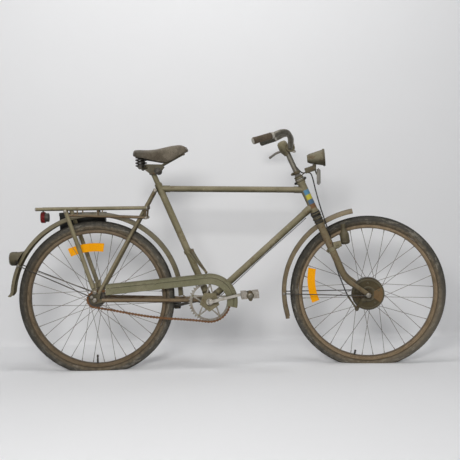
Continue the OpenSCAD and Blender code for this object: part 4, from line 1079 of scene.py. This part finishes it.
def guard_edge(off, y):
    """Line that runs at a distance below the guard's upper edge."""
    r = R_OUT - off
    return guard_line(r, (51, 0, 63.4 - off), (462, 0, -18 + r - 1), 24, y)


guard, shade_lines, hook = Shape(), Shape(), Shape()
guard.tube(guard_edge(0.6, GUARD_Y), 1.5, 8)
guard.tube(guard_edge(14, -64), [(1.8, 2.4)] * 61, 8)
guard.tube(guard_line(R_IN, (45, 0, 19.8), (462, 0, -18 + R_IN), 20, GUARD_Y), 1.3, 8)
for x, z in ((62, 44), (250, 62), (452, 88), (574, 30)):
    guard.screw((x, -64, z), RIGHT, 4.6, 2.6)
frame_piece("guard_trim", guard, OLIVE_GUARD)
# Painted shade: thin dark lines under the crease and under the rolled top edge.
shade_lines.tube(guard_edge(17, -63.5), 0.9, 6)
shade_lines.tube(guard_edge(3.2, -63.5), 0.7, 6)
frame_piece("guard_shade_lines", shade_lines, OLIVE_DARK)
hook.tube(smooth([(400, -26, 199), (406, -30, 186), (424, -38, 157), (445, -46, 127), (460, -52, 107)], 5),
          [(2.4, 9.5 - 0.3 * k) for k in range(21)], 14)
frame_piece("guard_hook", hook, OLIVE_DARK)


# Mudguards: rolled edges and flared tips, from angle a0 to a1 about the axle.
GUARD_MID = 333
GUARD_EDGE = (344.6, 26.3)


def mudguard_trim(name, place, body, a0, a1, mat, flare):
    s = Shape()
    for y in (-1, 1):
        r, half = GUARD_EDGE
        s.tube([polar(r, a0 + (a1 - a0) * k / 90, y * half) for k in range(91)], 1.9, 8)
    rows = []
    for j in range(9):
        f = j / 8
        row = []
        for r, turn in ((29.2, 1), (27.7, -1)):
            for k in range(17):
                b = math.radians(turn * (8.5 * k - 68))
                out = GUARD_MID + r * math.cos(b) + flare * f ** 2.2
                row.append(polar(out, a1 + 3.4 * f - 0.4, r * math.sin(b)))
        rows.append(row)
    c = len(rows[0])
    s.skin(rows, [(e + k, e + k + 1, e + c - 2 - k, e + c - 1 - k) for e in (0, 8 * c) for k in range(16)])
    piece(name, s, place, body, mat)


mudguard_trim("rear_guard_trim", REAR, "frame", 0.8, 174.5, GUARD_REAR, 11)
mudguard_trim("front_guard_trim", FRONT, "steering", 100, 195, GUARD_FRONT, 2)

# Nuts and bolts of the frame.
KNOB = [(0, 0), (7.0, 0), (7.6, 1.2), (7.4, 4), (5, 5.6), (0, 6)]
bolts = Shape()
for y in (-1, 1):
    out = LEFT * y
    bolts.nut((0, y * 72.4, 0), out, 9.4, 5, washer=False)
    for at, r, h, stud in (
            ((0, y * 72, 32), 6.2, 4.5, 3), ((-13, y * 70, 12), 5.6, 4, 2.5),
            (SEAT_NODE + Vector((-19.96, y * 33, -6.2)), 6.4, 5, 2.5),
            (polar(STAY_R, 155.4, y * 33.6), 4.6, 3.4, 2), (rack_pt(-111, y * 76.8, -11), 5.4, 3.6, 2),
            ((216.6, y * 52, 335.3), 5.4, 3.6, 2)):
        bolts.nut(at, out, r, h, stud=stud)
    for x, way in ((-228, -1), (219.6, 1)):
        bolts.lathe(KNOB, rack_pt(x, y * 68), (way, 0, 0), 18)
frame_piece("frame_bolts", bolts, STEEL, "bare_steel")

# Head fittings: ribbed collar, lock nut, bar clamp, axle and stay nuts.
head = Shape()
head.lathe([(12.8, 0), (18.4, 0), (18.9, 1), (18.9, 4), (18.4, 5), (12.8, 5)], ax(552), UP, 36)
rib = Vector((1.6, 1.6, 2.4))
for k in range(12):
    a = 2 * math.pi * k / 12
    at = ax(555) + (LEFT * math.cos(a) + FWD * math.sin(a)) * 18.6
    head.box(at - rib, at + rib, 0.5)
head.lathe([(11.4, 0), (15.5, 0), (16.4, 1.2), (16.4, 5), (14, 7.2), (11.4, 7.4)], ax(569.4), UP, 6)
head.nut(ax(704), UP, 8, 6)
head.nut(by_bar(14, 0, -13), (0.75, 0, -0.66), 5.4, 5, stud=2.5)
head.box(by_bar(8, -20, -21), by_bar(20, 20, -12), 2)
for y in (-1, 1):
    head.nut(AXLE_F + LEFT * (y * 73.6), LEFT * y, 8, 4.5)
    head.nut(AXLE_F + polar(STAY_R, 180, y * 33.6), LEFT * y, 4.6, 3.4, stud=2)
steer_piece("head_nuts", head, STEEL, "bare_steel")

# Front brake: rings and screws on the plate, arm pivot, clevis links, rusted wedge, anchor sleeve.
PLATE_AT = AXLE_F + RIGHT * 45
brake, wedge, sleeve = Shape(), Shape(), Shape()
brake.lathe([(57, 0), (58, 1.4), (62, 1.6), (64.5, 0.8), (65.6, -0.6)], PLATE_AT, RIGHT, 64)
brake.lathe([(20, 0), (24, 1.8), (30, 2.2), (33, 0.2)], PLATE_AT, RIGHT, 48)
for deg in (20, 92, 164, 308):
    brake.screw(PLATE_AT + polar(46, deg), RIGHT, 5, 3)
brake.nut(AXLE_F + polar(78, 232, -54), RIGHT, 6.6, 4, stud=3)
brake.nut(AXLE_F + polar(30, 232, -50.5), RIGHT, 9, 5, stud=3)
for y in (-56.4, -50.2):
    a, b = by_axle(-51, y, -57), by_axle(-84, y, -6)
    brake.tube([a, a + (b - a) * 0.5, b], [(1.2, 4.4), (1.2, 3.6), (1.2, 4.4)], 10)
steer_piece("brake_fittings", brake, OLIVE_DARK)
outline = [polar(24, a).xz for a in range(-35, 29, 9)] + [polar(61, a).xz for a in range(28, -36, -7)]
wedge.plate(outline, PLATE_AT, (1, 0, 0), (0, 0, 1), 2.2, 0.8)
steer_piece("drum_wedge", wedge, WEDGE)
sleeve.tube([by_axle(x, -50.5, -6 - (x + 68) * 0.05) for x in (-66, -50, -28)], [5.4, 5.8, 5.2], 18)
sleeve.nut(by_axle(-29, -50.5, -8), (1, 0, 0), 7, 5, stud=4)
steer_piece("anchor_sleeve", sleeve, BROWN)

# Rear reflector lens and tail lamp lens, in their rings.
BACK = Vector((-1, 0, 0))
REFLECTOR = Vector((-222, 0, 343.3))
TAIL = polar(GUARD_R + 12, 152.4) + BACK * 24
lens, ring = Shape(), Shape()
lens.lathe([(0, 3.2), (8, 3.0), (15, 2.0), (19.4, 0.4), (19.4, -1)], REFLECTOR, BACK, 40)
ring.lathe([(19.2, -1), (19.4, 1.4), (21, 2.2), (22.2, 1.2), (22.6, -3)], REFLECTOR, BACK, 40)
lens.lathe([(22.4, -0.5), (23.1, 0), (23.1, 15), (22.4, 15.5)], REFLECTOR, -BACK, 40)
lens.lathe([(0, 5.0), (9, 4.6), (17, 3.2), (22.6, 0.2), (22.6, -2)], TAIL, BACK, 40)
ring.lathe([(22.4, -2), (22.6, 1.6), (24.4, 2.4), (26.2, 0.6), (26.8, -1.4)], TAIL, BACK, 40)
frame_piece("rear_lenses", lens, RED, "red_reflector")
frame_piece("rear_lens_rings", ring, STEEL, "bare_steel")

# Lamp wire along the underside of the down tube.
WIRE_OFF = 17.4
WIRE_TOP = ax(429)
along = (BB - WIRE_TOP).normalized()
below = Vector((-along.z, 0, along.x))
wire = Shape()
wire.tube([WIRE_TOP + along * s + below * (WIRE_OFF + 1.2 * math.sin(s / 60)) + RIGHT * 6
           for s in range(52, 640, 12)], 1.5, 10)
frame_piece("lamp_wire", wire, BLACK, "black_rubber")

# Collar and bolts over the head, lamp rim and hinge nuts.
LAMP_AXIS = Vector((57, 0, 3.9))
LAMP_AT = by_head(36, 97.2)
top = Shape()
top.lathe([(11.2, 0), (15.0, 0), (15.8, 1.2), (15.8, 11), (14.6, 13), (11.2, 13)], ax(579), UP, 32)
top.nut(ax(586, -15), -FWD, 6.4, 6, stud=3)
top.nut(ax(549, 17), FWD, 6, 5, stud=3)
top.lathe([(35.4, 57), (36.4, 57.6), (36.8, 60), (36.2, 64), (35.2, 65.4), (32.6, 65.4)], LAMP_AT,
          LAMP_AXIS, 56)
top.lathe([(19.4, 0), (20.6, 0.4), (20.9, 1.6), (20.3, 2.4)], LAMP_AT, LAMP_AXIS, 40)
for y in (-1, 1):
    top.nut(by_head(57, 56, y * 14), LEFT * y, 6, 4, stud=2)
steer_piece("head_collar", top, OLIVE_DARK)

# Stem head, and the lamp's mount with its turned block.
lug = Shape()
lug.lathe([(11.2, 668), (13, 674), (18, 684), (21.4, 694), (22, 712), (20, 724), (14, 731), (0, 733)],
          ax(0, -5), UP, 32)
lug.tube([by_bar(0, y, 0) for y in (-26, -24, 24, 26)], [16.6, 18.2, 18.2, 16.6], 28)
steer_piece("stem_head", lug, OLIVE)


def turned_box(half, ease, at, deg):
    """Box of given half sizes about a point, with its moving matrix about the Y axis."""
    box = Shape()
    box.box(-Vector(half), half, ease)
    return box, Matrix.Translation(at) @ Matrix.Rotation(math.radians(deg), 4, "Y")


mount = Shape()
mount.lathe([(11.5, 0), (18.4, 0), (19, 0.8), (19, 4), (18.4, 4.8), (11.5, 4.8)], ax(564.3), UP, 36)
mount.join(*turned_box((23, 13, 11.5), 2.5, by_head(40, 53), -18))
mount.tube([by_head(57, z) for z in (60, 74)], 7.5, 20)
mount.tube([ax(566.5, 15), by_head(20, 42), by_head(26, 49)], [(7, 2.2)] * 3, 12)
mount.tube([by_head(58, 52), by_head(62, 44), by_head(66.5, 30)], 2.8, 12)
steer_piece("lamp_mount", mount, OLIVE_DARK, replaces=("lamp_bracket",))

# Dynamo bottle with its hinge block and the clamp on the fork.
BOTTLE_AT = by_axle(-92, -46, 212)
BOTTLE_UP = Vector((-11, 0, 85))
bottle, hinge = Shape(), Shape()
bottle.lathe([(0, 0), (12, 0.4), (16.5, 2.5), (18.8, 7), (19, 40), (17.6, 46), (14, 53), (11, 60), (9.4, 66),
              (9, 71), (10, 71.6), (10, 85), (9, 85.7), (0, 85.7)], BOTTLE_AT, BOTTLE_UP, 36)
bottle.lathe([(19, 10), (19.7, 10.6), (19.7, 13.4), (19, 14)], BOTTLE_AT, BOTTLE_UP, 36)
steer_piece("dynamo_bottle", bottle, OLIVE_DARK, replaces=("dynamo",))
hinge.join(*turned_box((17, 9, 12), 2.5, BOTTLE_AT + Vector((-34, -7, 0)), -14))
hinge.nut(BOTTLE_AT + Vector((-36, -16, 1)), RIGHT, 6, 3.5, stud=2)
hinge.tube([ax(228, 0, -50.5), ax(244, 0, -50.5)], [(12.4, 17.8)] * 2, 32)
hinge.tube([ax(236, 12, -51), ax(236, 34, -51)], [(9, 7.5)] * 2, 16)
hinge.tube([ax(237, 26, -52), BOTTLE_AT + Vector((-30, -7, -6))], [(5, 8)] * 2, 14)
hinge.nut(ax(236, 27, -59), RIGHT, 6, 4, stud=2)
hinge.nut(ax(236, -17, -51), -FWD, 5.5, 4.5)
steer_piece("dynamo_hinge", hinge, OLIVE)

# Beads on the fork crown with dark gaps between them, and dark rings and bolts at the head.
BEAD = [(0, 0), (1.6, 0.6), (2.8, 2.2), (2.8, 4.8), (1.6, 6.4), (0, 7)]
beads, gaps = Shape(), Shape()
beads.lathe([(19.9 + r, h) for r, h in BEAD], ax(390.5), UP, 40)
gaps.lathe([(15, 383.4), (20.2, 383.4), (20.2, 403.2), (15, 403.2)], ax(0), UP, 40)
for y in (-1, 1):
    beads.tube([ax(374 + h, 0, y * 45) for r, h in BEAD], [17.6 + r for r, h in BEAD], 32)
    beads.tube([ax(360 + h, 0, y * 45) for r, h in BEAD], [(10.6 + r, 16.8 + r) for r, h in BEAD], 32)
    gaps.tube([ax(t, 0, y * 45) for t in (366.2, 382.8)], 17.7, 32)
    gaps.tube([ax(t, 0, y * 45.2) for t in (354.5, 368)], [(10.7, 16.9)] * 2, 32)
for t in (544.5, 557):
    gaps.lathe([(12.8, 0), (19.3, 0), (19.3, 2.4), (12.8, 2.4)], ax(t), UP, 36)
gaps.nut(ax(545, -18), -FWD, 6.4, 6, stud=3)
gaps.nut(ax(551, 17), FWD, 6.4, 6, stud=4)
steer_piece("crown_rings", beads, OLIVE_DARK)
steer_piece("crown_gaps", gaps, BLACK, "black_rubber")

# Tool box: folded shell, lid with a lip, two hooks over the rail and a catch.
box = Shape()
box.box((-164, 81, 281), (31, 125, 352), 3)
box.box((-166, 80, 345), (33, 127.4, 361), 3)
for x in (-142, -4):
    box.box((x, 75.4, 343), (x + 16, 82.6, 378), 1)
box.box((-78, 126, 326), (-56, 130, 352), 1.4)
frame_piece("tool_box_shell", box, BOX, "black_box", replaces=("tool_box",))
